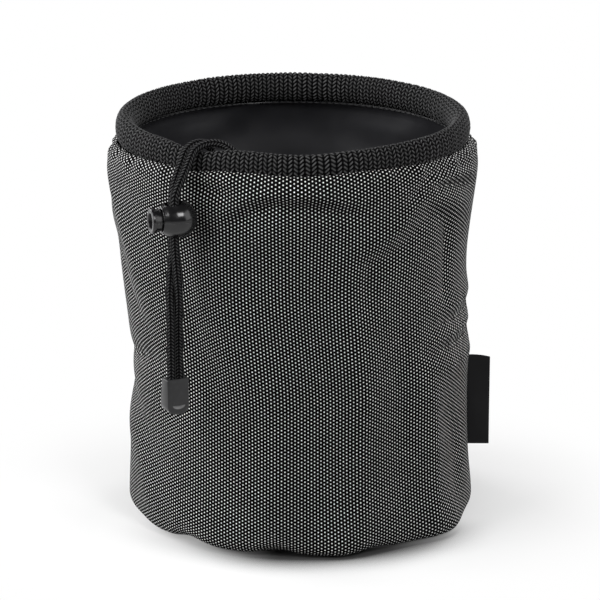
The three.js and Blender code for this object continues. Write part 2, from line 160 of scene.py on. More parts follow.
def make_piece(name, points, faces):
    mesh = bpy.data.meshes.new(name)
    mesh.from_pydata(np.asarray(points).tolist(), [], faces)
    shade_smooth(mesh)
    return add_object(name, mesh)


def grid_faces(row_count, column_count, close_rows, close_columns):
    """The four-sided faces of a grid, as a list, and the row and the column where each starts."""
    spans = np.arange(row_count if close_rows else row_count - 1)
    i, j = np.meshgrid(spans, np.arange(column_count if close_columns else column_count - 1), indexing="ij")
    above, beside = (i + 1) % row_count, (j + 1) % column_count
    corners = [(i, j), (i, beside), (above, beside), (above, j)]
    return np.stack([(r * column_count + c).ravel() for r, c in corners], axis=1).tolist(), i, j


def lay_map(mesh, i, j, around, along):
    """A UV map in metres for the faces of a grid. Faces after those stay at 0."""
    u = np.stack([around[j], around[j + 1], around[j + 1], around[j]], axis=-1)
    v = np.stack([along[i], along[i], along[i + 1], along[i + 1]], axis=-1)
    places = np.zeros((len(mesh.loops), 2), np.float32)
    places[: u.size] = np.stack([u.ravel(), v.ravel()], axis=1)
    mesh.uv_layers.new(name="cloth").data.foreach_set("uv", places.ravel())


def ring_piece(name, rows, around, along, close_rows=True):
    """A grid that closes around. Its rows close as well, or one face closes each end."""
    row_count, column_count = rows.shape[:2]
    faces, i, j = grid_faces(row_count, column_count, close_rows, True)
    if not close_rows:
        first_row = list(range(column_count))
        faces += [first_row[::-1], [(row_count - 1) * column_count + c for c in first_row]]
    piece = make_piece(name, rows.reshape(-1, 3), faces)
    lay_map(piece.data, i, j, around, along)
    return piece


def report(*pieces):
    print("; ".join(f"{piece.name} {len(piece.data.polygons)} faces" for piece in pieces))


print("grids carry a map named cloth")

# %% [markdown]
# ## How the filled bag stands
# A full bag is never a perfect tube. This one leans a little above its waist, its rim sags at the front,
# and the cord presses the rim down where it goes over. A lattice could bend the finished pieces, but a
# function that moves one point is shorter and exact: the wall, the lining, the rim and the cord inside it
# get the same shift and stay together. Azimuths are degrees from the front towards the label's side.

# %% Lean and press
LEAN = -3.2 * MM
LEAN_START = 65 * MM
LEAN_END = 125 * MM
CORD_AZIMUTH = -33.4
PRESS_DEPTH = 2.6 * MM
PRESS_SPREAD = 9.0
PRESS_START = 140 * MM
PRESS_END = 169.5 * MM
SAG_AZIMUTH = 4.0
SAG_DEPTH = 1.4 * MM
SAG_SPREAD = 15.0
SEAM_AZIMUTH = 90.0
RIM_MIDDLE = 176 * MM


def wrapped(azimuth):
    return (azimuth + 180) % 360 - 180


def on_ring(azimuth, radius, height):
    """Points at an azimuth in degrees, with the bag's lean and press applied."""
    angle = np.radians(azimuth)
    cord_press = PRESS_DEPTH * bell(wrapped(azimuth - CORD_AZIMUTH), PRESS_SPREAD)
    front_sag = SAG_DEPTH * bell(wrapped(azimuth - SAG_AZIMUTH), SAG_SPREAD)
    x = radius * np.sin(angle) + LEAN * smoothstep(height, LEAN_START, LEAN_END)
    y = -radius * np.cos(angle)
    z = height - (cord_press + front_sag) * smoothstep(height, PRESS_START, PRESS_END)
    return np.stack(np.broadcast_arrays(x, y, z), axis=-1)


def azimuths(count):
    """Evenly spaced azimuths once round the bag, from the side seam to it again, in degrees."""
    return np.linspace(SEAM_AZIMUTH - 360, SEAM_AZIMUTH, count, endpoint=False)


print("the mouth's middle is at", on_ring(0.0, 0.0, RIM_MIDDLE).round(4))

# %% [markdown]
# ## The drawcord
# Each strand is a knitted cord, 3.4 mm thick. It leaves a hole inside the rim, goes over the rim and hangs
# to the tag. The route is the one of the solids, so it is repeated here as listed points. A curve
# with a round bevel would give a smooth tube, and a bump in its material would leave the outline smooth. So
# the knit is real relief: rows of V-shaped loops push the tube's surface out, and its outline is bumpy as
# well.

# %% Routes of the two strands
# Points of x, y and the height over the middle of the rim, in mm
ROUTES_MM = {
    "right": [
        (-17.4, -72.9, 0.0), (-21.7, -71.6, 0.8), (-25.7, -69.2, 2.9), (-28.7, -66.5, 5.2),
        (-31.9, -64.5, 6.9), (-35.7, -63.7, 7.7), (-39.3, -63.9, 7.5), (-42.6, -65.0, 6.5),
        (-44.9, -66.6, 5.0), (-46.1, -68.4, 3.1), (-47.4, -70.4, 0.2), (-48.8, -72.5, -2.8),
        (-50.3, -74.6, -5.8), (-51.7, -76.5, -8.8), (-52.7, -77.7, -11.6), (-52.9, -78.0, -14.5),
        (-52.9, -78.0, -23.0), (-52.9, -78.0, -32.0), (-52.6, -77.9, -39.0), (-52.1, -77.5, -46.0),
        (-51.7, -76.7, -53.0), (-51.6, -75.9, -60.0), (-51.8, -75.5, -67.0), (-51.8, -75.4, -74.0),
        (-51.8, -75.4, -82.0), (-51.8, -75.4, -89.5), (-51.8, -75.4, -96.9),
    ],
    "left": [
        (-62.5, -44.7, 0.0), (-58.9, -47.5, -0.4), (-54.4, -49.2, -1.5), (-49.6, -49.4, -3.2),
        (-44.8, -49.4, -4.4), (-40.6, -50.6, -3.8), (-38.0, -52.4, -1.2), (-37.8, -54.4, 2.3),
        (-39.6, -56.9, 5.2), (-42.5, -59.6, 6.8), (-45.7, -62.3, 6.6), (-48.0, -64.5, 5.0),
        (-49.2, -66.3, 3.1), (-50.3, -68.2, 0.2), (-51.5, -69.9, -2.8), (-52.5, -71.6, -5.8),
        (-53.4, -73.2, -8.8), (-53.9, -74.2, -11.6), (-54.0, -74.5, -14.5), (-54.0, -74.5, -23.0),
        (-54.0, -74.5, -32.0), (-54.3, -74.6, -39.0), (-54.8, -75.0, -46.0), (-55.3, -75.8, -53.0),
        (-55.3, -76.5, -60.0), (-55.1, -77.0, -67.0), (-55.1, -77.1, -74.0), (-55.1, -77.1, -82.0),
        (-55.1, -77.1, -89.5), (-55.1, -77.1, -96.9),
    ],
}
for side, points in ROUTES_MM.items():
    print(side, "strand:", len(points), "points, from", points[0], "to", points[-1])

# %% Knitted loops
LOOP_SLANT = 1.15
LOOP_VALLEY = 0.28


def knit_relief(across, courses):
    """Height from 0 to 1 of V-shaped loops: across counts the Vs, courses counts the rows of loops."""
    leg = np.abs((across % 1) - 0.5) * 2
    wave = 0.5 + 0.5 * np.cos(2 * np.pi * (courses - LOOP_SLANT * leg))
    valley = smoothstep(np.minimum(leg, 1 - leg), 0.0, LOOP_VALLEY)
    return valley * wave


def store_relief(piece, relief):
    """Keeps the loops' height on the mesh, for the finish to paint shade in the grooves and a highlight on
    the crowns.
    """
    attribute = piece.data.attributes.new("relief", "FLOAT", "POINT")
    attribute.data.foreach_set("value", relief.astype(np.float32).ravel())


print("loops lean", LOOP_SLANT, "rows from the point of a V to its ends")

# %% A knitted tube along a route
CORD_DIAMETER = 3.4 * MM
CORD_LOOPS_AROUND = 3
CORD_LOOP_PITCH = 1.45 * MM
CORD_LOOP_RELIEF = 0.34 * MM
CORD_LOOP_LEVEL = 0.4
CORD_STEP = 0.24 * MM
CORD_SIDES = 48
CORD_FACING = np.array([0.828, -0.561, 0.0])
CORD_FRONT = 0.155
CORD_SPREAD = 0.08
CORD_SQUEEZE = 0.3
OVER_RIM_START = (20 * MM, 36 * MM)
OVER_RIM_END = (46 * MM, 62 * MM)
FIRST_SIDE = (0.3, 0.2, 1.0)


def frames_along(points):
    """Side and top directions that turn as little as possible along the line."""
    ahead = np.gradient(points, axis=0)
    ahead /= np.linalg.norm(ahead, axis=1)[:, None]
    side = np.cross(ahead[0], FIRST_SIDE)
    sides = []
    for direction in ahead:
        side = side - direction * np.dot(side, direction)
        side = side / np.linalg.norm(side)
        sides.append(side)
    sides = np.array(sides)
    return sides, np.cross(ahead, sides)


def knitted_cord(name, points, diameter=CORD_DIAMETER, spread=0.0):
    """A knitted tube along the points. spread is how much wider it lies where it goes over the rim."""
    line = smooth_line(points, int(lengths_along(points, False)[-1] / CORD_STEP))
    run = lengths_along(line, False)
    sides, tops = frames_along(line)
    middle = len(line) // 2
    offset = math.atan2(np.dot(tops[middle], CORD_FACING), np.dot(sides[middle], CORD_FACING))
    turn = np.arange(CORD_SIDES) / CORD_SIDES
    loops = (turn - CORD_FRONT) * CORD_LOOPS_AROUND + 0.5
    relief = knit_relief(loops[None, :], run[:, None] / CORD_LOOP_PITCH)
    radius = diameter / 2 + CORD_LOOP_RELIEF * (relief - CORD_LOOP_LEVEL)
    over_rim = smoothstep(run, *OVER_RIM_START) * (1 - smoothstep(run, *OVER_RIM_END))
    wide = (1 + spread * over_rim)[:, None]
    flat = (1 - CORD_SQUEEZE * spread * over_rim)[:, None]
    angle = 2 * np.pi * turn[None, :]
    across = radius * wide * np.cos(angle)
    outward = radius * flat * np.sin(angle)
    x = across * math.cos(offset) - outward * math.sin(offset)
    y = across * math.sin(offset) + outward * math.cos(offset)
    rows = line[:, None] + x[..., None] * sides[:, None] + y[..., None] * tops[:, None]
    around = np.append(turn, 1.0) * np.pi * diameter
    cord = ring_piece(name, rows, around, run, close_rows=False)
    store_relief(cord, relief)
    return cord, line


strands = {}
strand_lines = {}
for side, points in ROUTES_MM.items():
    path = np.array(points) * MM + np.array([0, 0, RIM_MIDDLE])
    strands[side], strand_lines[side] = knitted_cord(side + "_strand", path, spread=CORD_SPREAD)
report(*strands.values())

# %% [markdown]
# ## The wall
# The wall is one cloth, cut as a strip and sewn into a tube with a seam at the label's side. It is lofted
# from the profile of the solid, as rows around the bag. Its folds are drawn where the photograph has them,
# each as a soft ridge or hollow along a line on the cloth. Simulated cloth would fold too, but not in these
# places. The hem lifts off the floor here and there, and the neck drops at the two sides.

# %% Lines of the folds
# Each fold: points of azimuth and height in mm, half width in mm, rise in mm
FOLDS = [
    ([(-25, 172), (-20, 171), (-14, 170)], 3.5, 1.2),
    ([(-30, 168), (-25, 166), (-20, 163)], 3.0, -2.0),
    ([(-20, 156), (-12, 165), (-2, 167), (8, 166), (18, 162)], 4.0, 3.2),
    ([(-18, 151), (-10, 159), (-1, 161), (10, 159), (21, 155)], 3.9, -3.8),
    ([(70, 169), (52, 170), (46, 168), (40, 161)], 2.6, -1.8),
    ([(78, 162), (60, 166), (46, 165)], 3.0, 1.6),
    ([(76, 155), (58, 161), (46, 162), (39, 160)], 2.6, -2.0),
    ([(47, 158), (57, 152), (70, 147)], 5.0, 2.0),
    ([(45, 154), (52, 148), (58, 141), (60, 126), (59, 108)], 4.6, -2.5),
    ([(45, 161), (39, 154), (33, 146), (26, 141), (17, 137)], 6.0, 1.7),
    ([(47, 148), (39, 140), (31, 134), (25, 129), (25, 110)], 5.4, -2.1),
    ([(-25, 142), (-21, 108), (-16, 70)], 10.0, 1.8),
    ([(-38, 130), (-35, 100), (-29, 66)], 8.0, -1.8),
    ([(-9, 112), (-8, 62), (-8, 14)], 9.0, 1.3),
    ([(7, 136), (8, 70), (8, 10)], 13.0, -2.0),
    ([(17, 130), (18.5, 120), (20, 104), (22, 70), (21, 40), (22, 8)], 5.5, 2.0),
    ([(33, 124), (36, 70), (36, 12)], 10.0, -2.4),
    ([(50, 72), (51, 40), (50, 6)], 7.0, 2.2),
    ([(50, 106), (70, 103), (94, 103)], 4.5, 1.5),
    ([(50, 97), (62, 96), (92, 94)], 3.6, -1.8),
    ([(52, 91), (64, 90), (92, 89)], 3.4, 1.4),
    ([(48, 86), (58, 85), (92, 83)], 3.6, -1.8),
    ([(48, 78), (70, 75), (94, 75)], 4.8, 1.5),
    ([(58, 54), (66, 36), (63, 12)], 8.0, -1.8),
    ([(-80, 170), (-71, 142), (-58, 112)], 8.0, 1.8),
    ([(-90, 168), (-96, 152)], 8.0, -1.8),
    ([(-92, 146), (-88, 130)], 7.0, 1.3),
    ([(-86, 126), (-74, 108), (-58, 94)], 6.0, -1.9),
    ([(-95, 74), (-80, 75), (-62, 81), (-52, 80)], 4.5, -2.2),
    ([(-100, 62), (-84, 58), (-68, 52)], 7.0, -1.6),
    ([(-92, 48), (-72, 36), (-60, 14)], 9.0, 1.6),
    ([(106, 174), (120, 156), (141, 146)], 6.0, 2.0),
    ([(120, 170), (140, 158), (163, 160)], 5.0, -2.2),
    ([(-170, 172), (-150, 157), (-128, 160)], 5.5, -2.2),
    ([(-118, 176), (-128, 150), (-144, 124)], 8.0, 1.9),
    ([(149, 124), (160, 80), (151, 26)], 14.0, -2.0),
    ([(-151, 114), (-140, 62), (-153, 16)], 13.0, 1.9),
    ([(111, 100), (124, 62), (115, 18)], 11.0, 1.8),
]
print(len(FOLDS), "folds")

# %% How the folds push the cloth
WALL_RADIUS = 77 * MM
FOLD_POINTS = 24
FOLD_SPAN = (0.06, 0.94)
FOLD_FADE = 0.6
NARROW_FOLD_MM = 8
NARROW_FOLD_POWER = 0.75
GATHERS = [(23, 1.0, 1.0), (37, -2.0, 0.8), (58, 0.4, 0.7)]
GATHER_DEPTH = 0.35 * MM
GATHER_REACH = 6 * MM
NECK_HEIGHT = 174 * MM
# Slow waves of slack: count once round, phase, phase for each metre of height, share
SLACK_WAVES = [(5, 0, 34, 1.0), (9, 2, -52, 0.7)]
SLACK_DEPTH = 0.3 * MM
SLACK_START = 4 * MM
SLACK_END = 30 * MM
SEAM_DEPTH = 0.7 * MM
SEAM_SPREAD = 1.3 * MM


def round_wall(azimuth):
    """Distance along the cloth for an azimuth, from the front or from the seam."""
    return np.radians(wrapped(azimuth)) * WALL_RADIUS


def drawn_folds(azimuth, height):
    across = round_wall(azimuth)
    push = np.zeros(np.broadcast(azimuth, height).shape)
    fades = np.sin(np.pi * np.linspace(*FOLD_SPAN, FOLD_POINTS)) ** FOLD_FADE
    for points, half_width, rise in FOLDS:
        line = smooth_line(points, FOLD_POINTS) * (math.pi / 180 * WALL_RADIUS, MM)
        power = NARROW_FOLD_POWER if half_width < NARROW_FOLD_MM else 1.0
        share = np.zeros_like(push)
        for (x, z), fade in zip(line, fades):
            apart = ((across - x) ** 2 + (height - z) ** 2) / (half_width * MM) ** 2
            share = np.maximum(share, fade * np.exp(-(apart**power)))
        push += rise * MM * share
    return push


def fold_depth(azimuth, height):
    """How far the folds, the gathers under the rim, the slack and the seam push the cloth out."""
    turn = np.radians(azimuth)
    gathers = GATHER_DEPTH * ripple(turn, GATHERS) * bell(NECK_HEIGHT - height, GATHER_REACH)
    waves = [(count, phase + climb * height, share) for count, phase, climb, share in SLACK_WAVES]
    slack = SLACK_DEPTH * ripple(turn, waves) * smoothstep(height, SLACK_START, SLACK_END)
    seam = SEAM_DEPTH * bell(round_wall(azimuth - SEAM_AZIMUTH), SEAM_SPREAD)
    return drawn_folds(azimuth, height) + gathers + slack - seam


print("the front is pushed out by", round(float(fold_depth(np.array(0.0), RIM_MIDDLE / 2)), 5), "m")

# %% Hem and neck
# Where the lower edge lifts off the floor, and where it bulges: azimuth, distance in mm, spread in degrees
HEM_LIFTS = [
    (-41, 2.6, 7), (-8, 3.3, 7), (26, 1.2, 6), (-70, 0.8, 8), (100, 1.2, 9), (160, 1.6, 10), (-125, 1.5, 9),
]
HEM_BULGES = [
    (14, 2.6, 7), (57, 5.4, 12), (86, 1.2, 12), (-88, 0.8, 10), (-140, 2.0, 14), (150, 2.0, 16),
]
HEM_LIFT_REACH = 7 * MM
HEM_BULGE_REACH = 16 * MM
NECK_DROP = 3.6 * MM
NECK_DROP_START = 150 * MM
NECK_HELD = 1.4 * MM
NECK_HELD_SPREAD = 11


def bumps(azimuth, entries):
    return MM * sum(size * bell(wrapped(azimuth - place), spread) for place, size, spread in entries)


def hem_lift(azimuth, height):
    return bumps(azimuth, HEM_LIFTS) * bell(height, HEM_LIFT_REACH)


def hem_bulge(azimuth, height):
    return bumps(azimuth, HEM_BULGES) * bell(height, HEM_BULGE_REACH)


def neck_drop(azimuth, height):
    """The wall's upper edge sits lower at the two sides, and stays up where the cord presses the rim."""
    low = NECK_DROP * np.sin(np.radians(azimuth)) ** 2
    held = NECK_HELD * bell(wrapped(azimuth - CORD_AZIMUTH), NECK_HELD_SPREAD)
    return (low - held) * smoothstep(height, NECK_DROP_START, NECK_HEIGHT)


print("the hem lifts in", len(HEM_LIFTS), "places and bulges in", len(HEM_BULGES))

# %% Wall
WALL_PROFILE_MM = np.array([
    (72.6, 0.5), (76.0, 3.2), (76.9, 12.0), (75.5, 55.0), (77.4, 117.0),
    (81.3, 156.0), (81.3, 167.6), (80.7, 172.3), (79.5, 174.4), (78.4, 174.6),
])
WALL_CLOTH = 1.6 * MM
WALL_COLUMNS = 480
WALL_ROWS = 124
WALL_INNER_STRIDE = 4
WEAVE_COLUMNS = 332
WEAVE_COLUMN_PITCH = 1.46 * MM
NECK_TUCK = 0.5
NECK_TUCK_START = 171 * MM


def offset_line(line, depth):
    """The profile moved in by a depth, at right angles to itself."""
    ahead = np.gradient(line, axis=0)
    ahead /= np.linalg.norm(ahead, axis=1)[:, None]
    return line + depth * np.stack([-ahead[:, 1], ahead[:, 0]], axis=1)


def cloth_tube(name, outside, inside, columns, drop=0.0):
    """A closed tube of cloth between two profiles, with the folds of the wall."""
    section = np.vstack([outside, inside[::-1]])
    azimuth = azimuths(columns)[None, :]
    radius, height = section[:, :1], section[:, 1:]
    lower = drop * neck_drop(azimuth, height)
    tuck = NECK_TUCK * np.clip(lower, 0, None) * smoothstep(height, NECK_TUCK_START, NECK_HEIGHT)
    pushed = radius + fold_depth(azimuth, height) + hem_bulge(azimuth, height) - tuck
    rows = on_ring(azimuth, pushed, height + hem_lift(azimuth, height) - lower)
    around = np.linspace(0, WEAVE_COLUMNS * WEAVE_COLUMN_PITCH, columns + 1)
    return ring_piece(name, rows, around, lengths_along(section))


wall_line = smooth_line(WALL_PROFILE_MM * MM, WALL_ROWS)
wall_inside = offset_line(wall_line, WALL_CLOTH)[::WALL_INNER_STRIDE]
outer_wall = cloth_tube("woven_wall", wall_line, wall_inside, WALL_COLUMNS, drop=1.0)
report(outer_wall)

# %% [markdown]
# ## The lining
# The mouth shows a smooth coated cloth inside. A Solidify modifier on the wall could stand for it, but the
# two cloths end at different heights, so the lining is a tube of its own. It follows the wall a small gap
# further in, so the same folds carry it, and its top edge turns in under the rim, where it is sewn.

# %% Lining of the wall
LINING_GAP = 0.3 * MM
LINING_CLOTH = 0.8 * MM
LINING_TOP_MM = np.array([(77.6, 167.0), (75.0, 169.0)])
LINING_PROFILE_POINTS = 7
LINING_SAMPLES = 60
LINING_KNOTS = slice(0, 56, 5)
LINING_ROWS = 80
LINING_COLUMNS = 180
LINING_INNER_STRIDE = 2

lining_below = smooth_line(WALL_PROFILE_MM[:LINING_PROFILE_POINTS] * MM, LINING_SAMPLES)
lining_knots = offset_line(lining_below, WALL_CLOTH + LINING_GAP)[LINING_KNOTS]
lining_line = smooth_line(np.vstack([lining_knots, LINING_TOP_MM * MM]), LINING_ROWS)
lining_inside = offset_line(lining_line, LINING_CLOTH)[::LINING_INNER_STRIDE]
wall_lining = cloth_tube("wall_lining_cloth", lining_line, lining_inside, LINING_COLUMNS)
report(wall_lining)

# %% [markdown]
# ## Base and base lining
# Two round cloths close the bottom: the woven base that stands on the floor, and the lining's floor above
# it. A plain cylinder would leave gaps, because the hem of the wall lifts and bulges. So each cloth is a
# thin disc of rings with a soft edge: flat where it stands, and near its seam it goes out and up with the
# hem and puckers.

# %% Base cloths
DISC_COLUMNS = 180
DISC_RINGS = 26
DISC_MIDDLE = 0.02
DISC_EDGE = 0.985
DISC_ROUNDING = 0.35
HEM_POWER = 12
PUCKER_DEPTH = 0.2 * MM
PUCKER_COUNT = 41
BASE_TUCK = 0.4 * MM
LINING_TUCK = 0.3 * MM


def cloth_disc(name, radius, low, high):
    """A flat round cloth from rings, with an edge that follows the hem and puckers."""
    azimuth = azimuths(DISC_COLUMNS)
    hem = np.full(DISC_COLUMNS, wall_line[0, 1])
    pucker = PUCKER_DEPTH * np.cos(np.radians(azimuth) * PUCKER_COUNT)
    edge = pucker + hem_bulge(azimuth, hem) + fold_depth(azimuth, hem)
    rise = hem_lift(azimuth, hem)
    shares = np.linspace(DISC_MIDDLE, 1, DISC_RINGS)
    rounding = (high - low) * DISC_ROUNDING * smoothstep(shares, DISC_EDGE, 1.0)
    share = np.append(shares, shares[::-1])[:, None]
    height = np.append(low + rounding, (high - rounding)[::-1])[:, None]
    rows = on_ring(azimuth, radius * share + edge * share**HEM_POWER, height + rise * share**HEM_POWER)
    around = np.linspace(0, 2 * math.pi * radius, DISC_COLUMNS + 1)
    return ring_piece(name, rows[::-1], around, share[:, 0] * radius, close_rows=False)


base_low, base_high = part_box("base_panel")
lining_low, lining_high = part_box("base_lining")
base_reach = wall_line[0, 0] - BASE_TUCK
lining_reach = lining_line[0, 0] - LINING_TUCK
base_cloth = cloth_disc("woven_base", base_reach, base_low.z, base_high.z)
base_lining = cloth_disc("base_lining_cloth", lining_reach, lining_low.z, lining_high.z)
print("the base reaches", round(base_reach, 4), "m and its lining", round(lining_reach, 4), "m")

# %% [markdown]
# ## The knitted rim
# The rim is a tube of coarse plain knit with the drawcord inside. Its loops are large enough to make the
# edge of the mouth look beaded. A bump in the material can't change an edge, so they are real relief too:
# the same V-shaped loops as on the cord, at the rim's own pitch, on a fine ring.

# %% Rim
RIM_RADIUS = 74.3 * MM
RIM_HALF_WIDTH = 4.0 * MM
RIM_HALF_HEIGHT = 6.5 * MM
RIM_COLUMNS = 1080
RIM_ROWS = 84
RIM_LOOP_WIDTH = 4.2 * MM
RIM_LOOP_PITCH = 1.9 * MM
RIM_LOOP_RELIEF = 0.75 * MM
RIM_LOOP_LEVEL = 0.7
RIM_STRETCH = [(4, 1, 0.35), (9, 0, 0.25)]
RIM_SLIP = [(5, 2, 0.4), (12, 0, 0.3)]
RIM_LUMPS = [(7, 1, 0.25), (13, 3, 0.2), (22, 0, 0.15)]
RIM_LUMP_SHARE = 0.06


def make_rim():
    azimuth = azimuths(RIM_COLUMNS)[None, :]
    turn = np.radians(azimuth)
    angle = (2 * np.pi * np.arange(RIM_ROWS) / RIM_ROWS)[:, None]
    section = np.hstack([RIM_HALF_WIDTH * np.cos(angle), RIM_HALF_HEIGHT * np.sin(angle)])
    run = lengths_along(section)
    loops = round(2 * math.pi * RIM_RADIUS / RIM_LOOP_WIDTH)
    courses = round(run[-1] / RIM_LOOP_PITCH)
    across = (azimuth / 360 + 0.5) * loops + ripple(turn, RIM_STRETCH)
    relief = knit_relief(across, run[:-1, None] / run[-1] * courses + ripple(turn, RIM_SLIP))
    swell = 1 + RIM_LOOP_RELIEF * (relief - RIM_LOOP_LEVEL) / RIM_HALF_WIDTH
    swell = swell + RIM_LUMP_SHARE * ripple(turn, RIM_LUMPS)
    radius = RIM_RADIUS + RIM_HALF_WIDTH * swell * np.cos(angle)
    height = RIM_MIDDLE + RIM_HALF_HEIGHT * (0.5 + 0.5 * swell) * np.sin(angle)
    around = np.linspace(0, 2 * math.pi * RIM_RADIUS, RIM_COLUMNS + 1)
    rim = ring_piece("knitted_rim", on_ring(azimuth, radius, height), around, run)
    store_relief(rim, relief)
    return rim


knitted_rim = make_rim()
report(knitted_rim)

# %% [markdown]
# ## The drawcord inside the rim
# Both strands come from one cord that runs round inside the rim, from one hole to the other. The rim hides
# it, but it is there when the bag is cut open, so it is the same knitted tube, along an arc.

# %% Drawcord inside the rim
HOOP_START = -10.0
HOOP_END = 306.0
HOOP_POINTS = 120

hoop_route = on_ring(np.linspace(HOOP_START, HOOP_END, HOOP_POINTS), RIM_RADIUS, RIM_MIDDLE)
hoop, hoop_line = knitted_cord("drawcord_in_rim", hoop_route)
print(hoop.name, "length", round(lengths_along(hoop_line, False)[-1], 3), "m")

# %% [markdown]
# ## The cord lock
# The lock is a turned shape: an egg-shaped barrel with a collar, and a button on a stem that slides in its
# bore. A turned outline becomes a solid by carrying it round the lock's own axis, as the Screw modifier
# does. A short function does the same here and closes both ends with a fan of triangles, because a Boolean
# needs a closed solid. Boolean modifiers then cut the hole for the strands, as the mould's side core does.

# %% Turning
CORD_LINE_MM = (-53.46, -76.22)
LOCK_HEIGHT = 153.7 * MM
LOCK_TURN = math.radians(108)


def on_cord(height, turn):
    """The place of a moulding on the hanging strands, from its height and its turn."""
    x, y = CORD_LINE_MM
    return Matrix.Translation((x * MM, y * MM, height)) @ Matrix.Rotation(turn, 4, "Z")


def turned_piece(name, outline_mm, sides, place):
    """A solid turned about the local Y axis from (radius, place) points that start and end on the axis."""
    outline = np.array(outline_mm) * MM
    angle = 2 * np.pi * np.arange(sides) / sides
    radius, along = outline[1:-1, :1], outline[1:-1, 1:]
    rows = np.stack(np.broadcast_arrays(radius * np.sin(angle), along, radius * np.cos(angle)), axis=-1)
    ends = [(0, outline[0, 1], 0), (0, outline[-1, 1], 0)]
    points = np.vstack([rows.reshape(-1, 3), ends])
    first, last, top = len(points) - 2, len(points) - 1, (len(radius) - 1) * sides
    faces = grid_faces(len(radius), sides, False, True)[0]
    faces += [(first, (c + 1) % sides, c) for c in range(sides)]
    faces += [(last, top + c, top + (c + 1) % sides) for c in range(sides)]
    piece = make_piece(name, points, faces)
    piece.data.transform(place)
    return piece


LOCK_PLACE = on_cord(LOCK_HEIGHT, LOCK_TURN)
print("lock at", [round(c, 4) for c in LOCK_PLACE.translation])

# %% Cutting and rounding
EDGE_ANGLE = math.radians(32)
EDGE_SEGMENTS = 2
POST_SIDES = 48


def settle(piece):
    """Turns a piece with live modifiers into a plain mesh."""
    bpy.context.view_layer.update()
    shown = piece.evaluated_get(bpy.context.evaluated_depsgraph_get())
    plain = bpy.data.meshes.new_from_object(shown)
    piece.modifiers.clear()
    old = piece.data
    piece.data = plain
    bpy.data.meshes.remove(old)
    return piece


def cut_with(piece, cutter):
    modifier = piece.modifiers.new("cut", "BOOLEAN")
    modifier.operation = "DIFFERENCE"
    modifier.solver = "EXACT"
    modifier.object = cutter
    settle(piece)
    bpy.data.objects.remove(cutter)


def soften(piece, width):
    """Rounds the sharp edges, so that they catch the light, and shades the rest smooth."""
    bevel = piece.modifiers.new("edge", "BEVEL")
    bevel.width = width
    bevel.segments = EDGE_SEGMENTS
    bevel.limit_method = "ANGLE"
    bevel.angle_limit = EDGE_ANGLE
    settle(piece)
    shade_smooth(piece.data)
    piece.data.set_sharp_from_angle(angle=EDGE_ANGLE)
    return piece


def post(name, radius_mm, length_mm, place):
    """A plain post along the local Z axis, used as a cutter."""
    upright = place @ Matrix.Rotation(math.radians(90), 4, "X")
    half = length_mm / 2
    outline = [(0, -half), (radius_mm, -half), (radius_mm, half), (0, half)]
    return turned_piece(name, outline, POST_SIDES, upright)


print("edges over", round(math.degrees(EDGE_ANGLE)), "degrees are rounded")

# %% Barrel
LOCK_SIDES = 72
CORD_HOLE_MM = (3.85, 40)
BARREL_RADIUS_MM = 8.0
BARREL_NOSE_MM = 10.2
BARREL_FULLEST_MM = 2.0
BARREL_FLANK_MM = [(BARREL_RADIUS_MM, -BARREL_FULLEST_MM), (7.75, 0.6), (7.05, 2.9), (6.3, 4.3), (5.8, 5.2)]
BARREL_COLLAR_MM = [(5.75, 5.5), (5.6, 5.6), (5.2, 5.6), (5.0, 5.4)]
BARREL_BORE_MM = [(5.0, -5.3), (3.6, -8.3), (0, -8.3)]
BARREL_NOSE_POINTS = 22
BARREL_FLANK_POINTS = 24
BARREL_EDGE = 0.22 * MM


def barrel_outline():
    reach = BARREL_NOSE_MM - BARREL_FULLEST_MM
    nose = [
        (BARREL_RADIUS_MM * math.sin(a), -BARREL_FULLEST_MM - reach * math.cos(a))
        for a in np.linspace(0, math.pi / 2, BARREL_NOSE_POINTS)
    ]
    flank = smooth_line(BARREL_FLANK_MM, BARREL_FLANK_POINTS)[1:].tolist()
    return nose + flank + BARREL_COLLAR_MM + BARREL_BORE_MM


lock_barrel = turned_piece("lock_barrel_moulding", barrel_outline(), LOCK_SIDES, LOCK_PLACE)
cut_with(lock_barrel, post("cord_hole", *CORD_HOLE_MM, LOCK_PLACE))
soften(lock_barrel, BARREL_EDGE)
report(lock_barrel)

# %% Button
BUTTON_TRAVEL_MM = 2.4
BUTTON_STEM_MM = [(0, -5.05), (3.4, -5.05), (4.7, -3.05)]
BUTTON_BACK_MM = [(4.7, 8.2), (4.85, 8.5), (5.25, 8.6), (5.4, 8.9)]
BUTTON_DISH_MM = [(3.75, 10.3), (3.45, 10.12), (3.3, 9.7), (3.15, 8.5), (2.8, 8.2), (0, 8.2)]
BUTTON_ROUND_MM = (4.8, 9.7, 0.6)
BUTTON_ROUND_POINTS = 7
BUTTON_EDGE = 0.12 * MM
STEM_SLOT_MM = (3.85, 30)
STEM_SLOT_CUTS = 4


def button_outline():
    middle, level, size = BUTTON_ROUND_MM
    rounding = [
        (middle + size * math.sin(a), level + size * math.cos(a))
        for a in np.linspace(math.pi / 2, 0, BUTTON_ROUND_POINTS)
    ]
    return BUTTON_STEM_MM + BUTTON_BACK_MM + rounding + BUTTON_DISH_MM


lock_button = turned_piece("lock_button_moulding", button_outline(), LOCK_SIDES, LOCK_PLACE)
for along in np.linspace(0, BUTTON_TRAVEL_MM, STEM_SLOT_CUTS):
    place = LOCK_PLACE @ Matrix.Translation((0, along * MM, 0))
    cut_with(lock_button, post("stem_slot", *STEM_SLOT_MM, place))
soften(lock_button, BUTTON_EDGE)
report(lock_button)

# %% [markdown]
# ## The cord's tag
# The two strands end in a moulded tag: a wedge with round lower corners, a thumb scoop low on its front and
# a cover at its back. The solid already has the right form, so a copy of it is merged, gets the scoop, and
# has its edges rounded. The knot that holds the tag on is one loop of the same knitted cord, drawn tight.

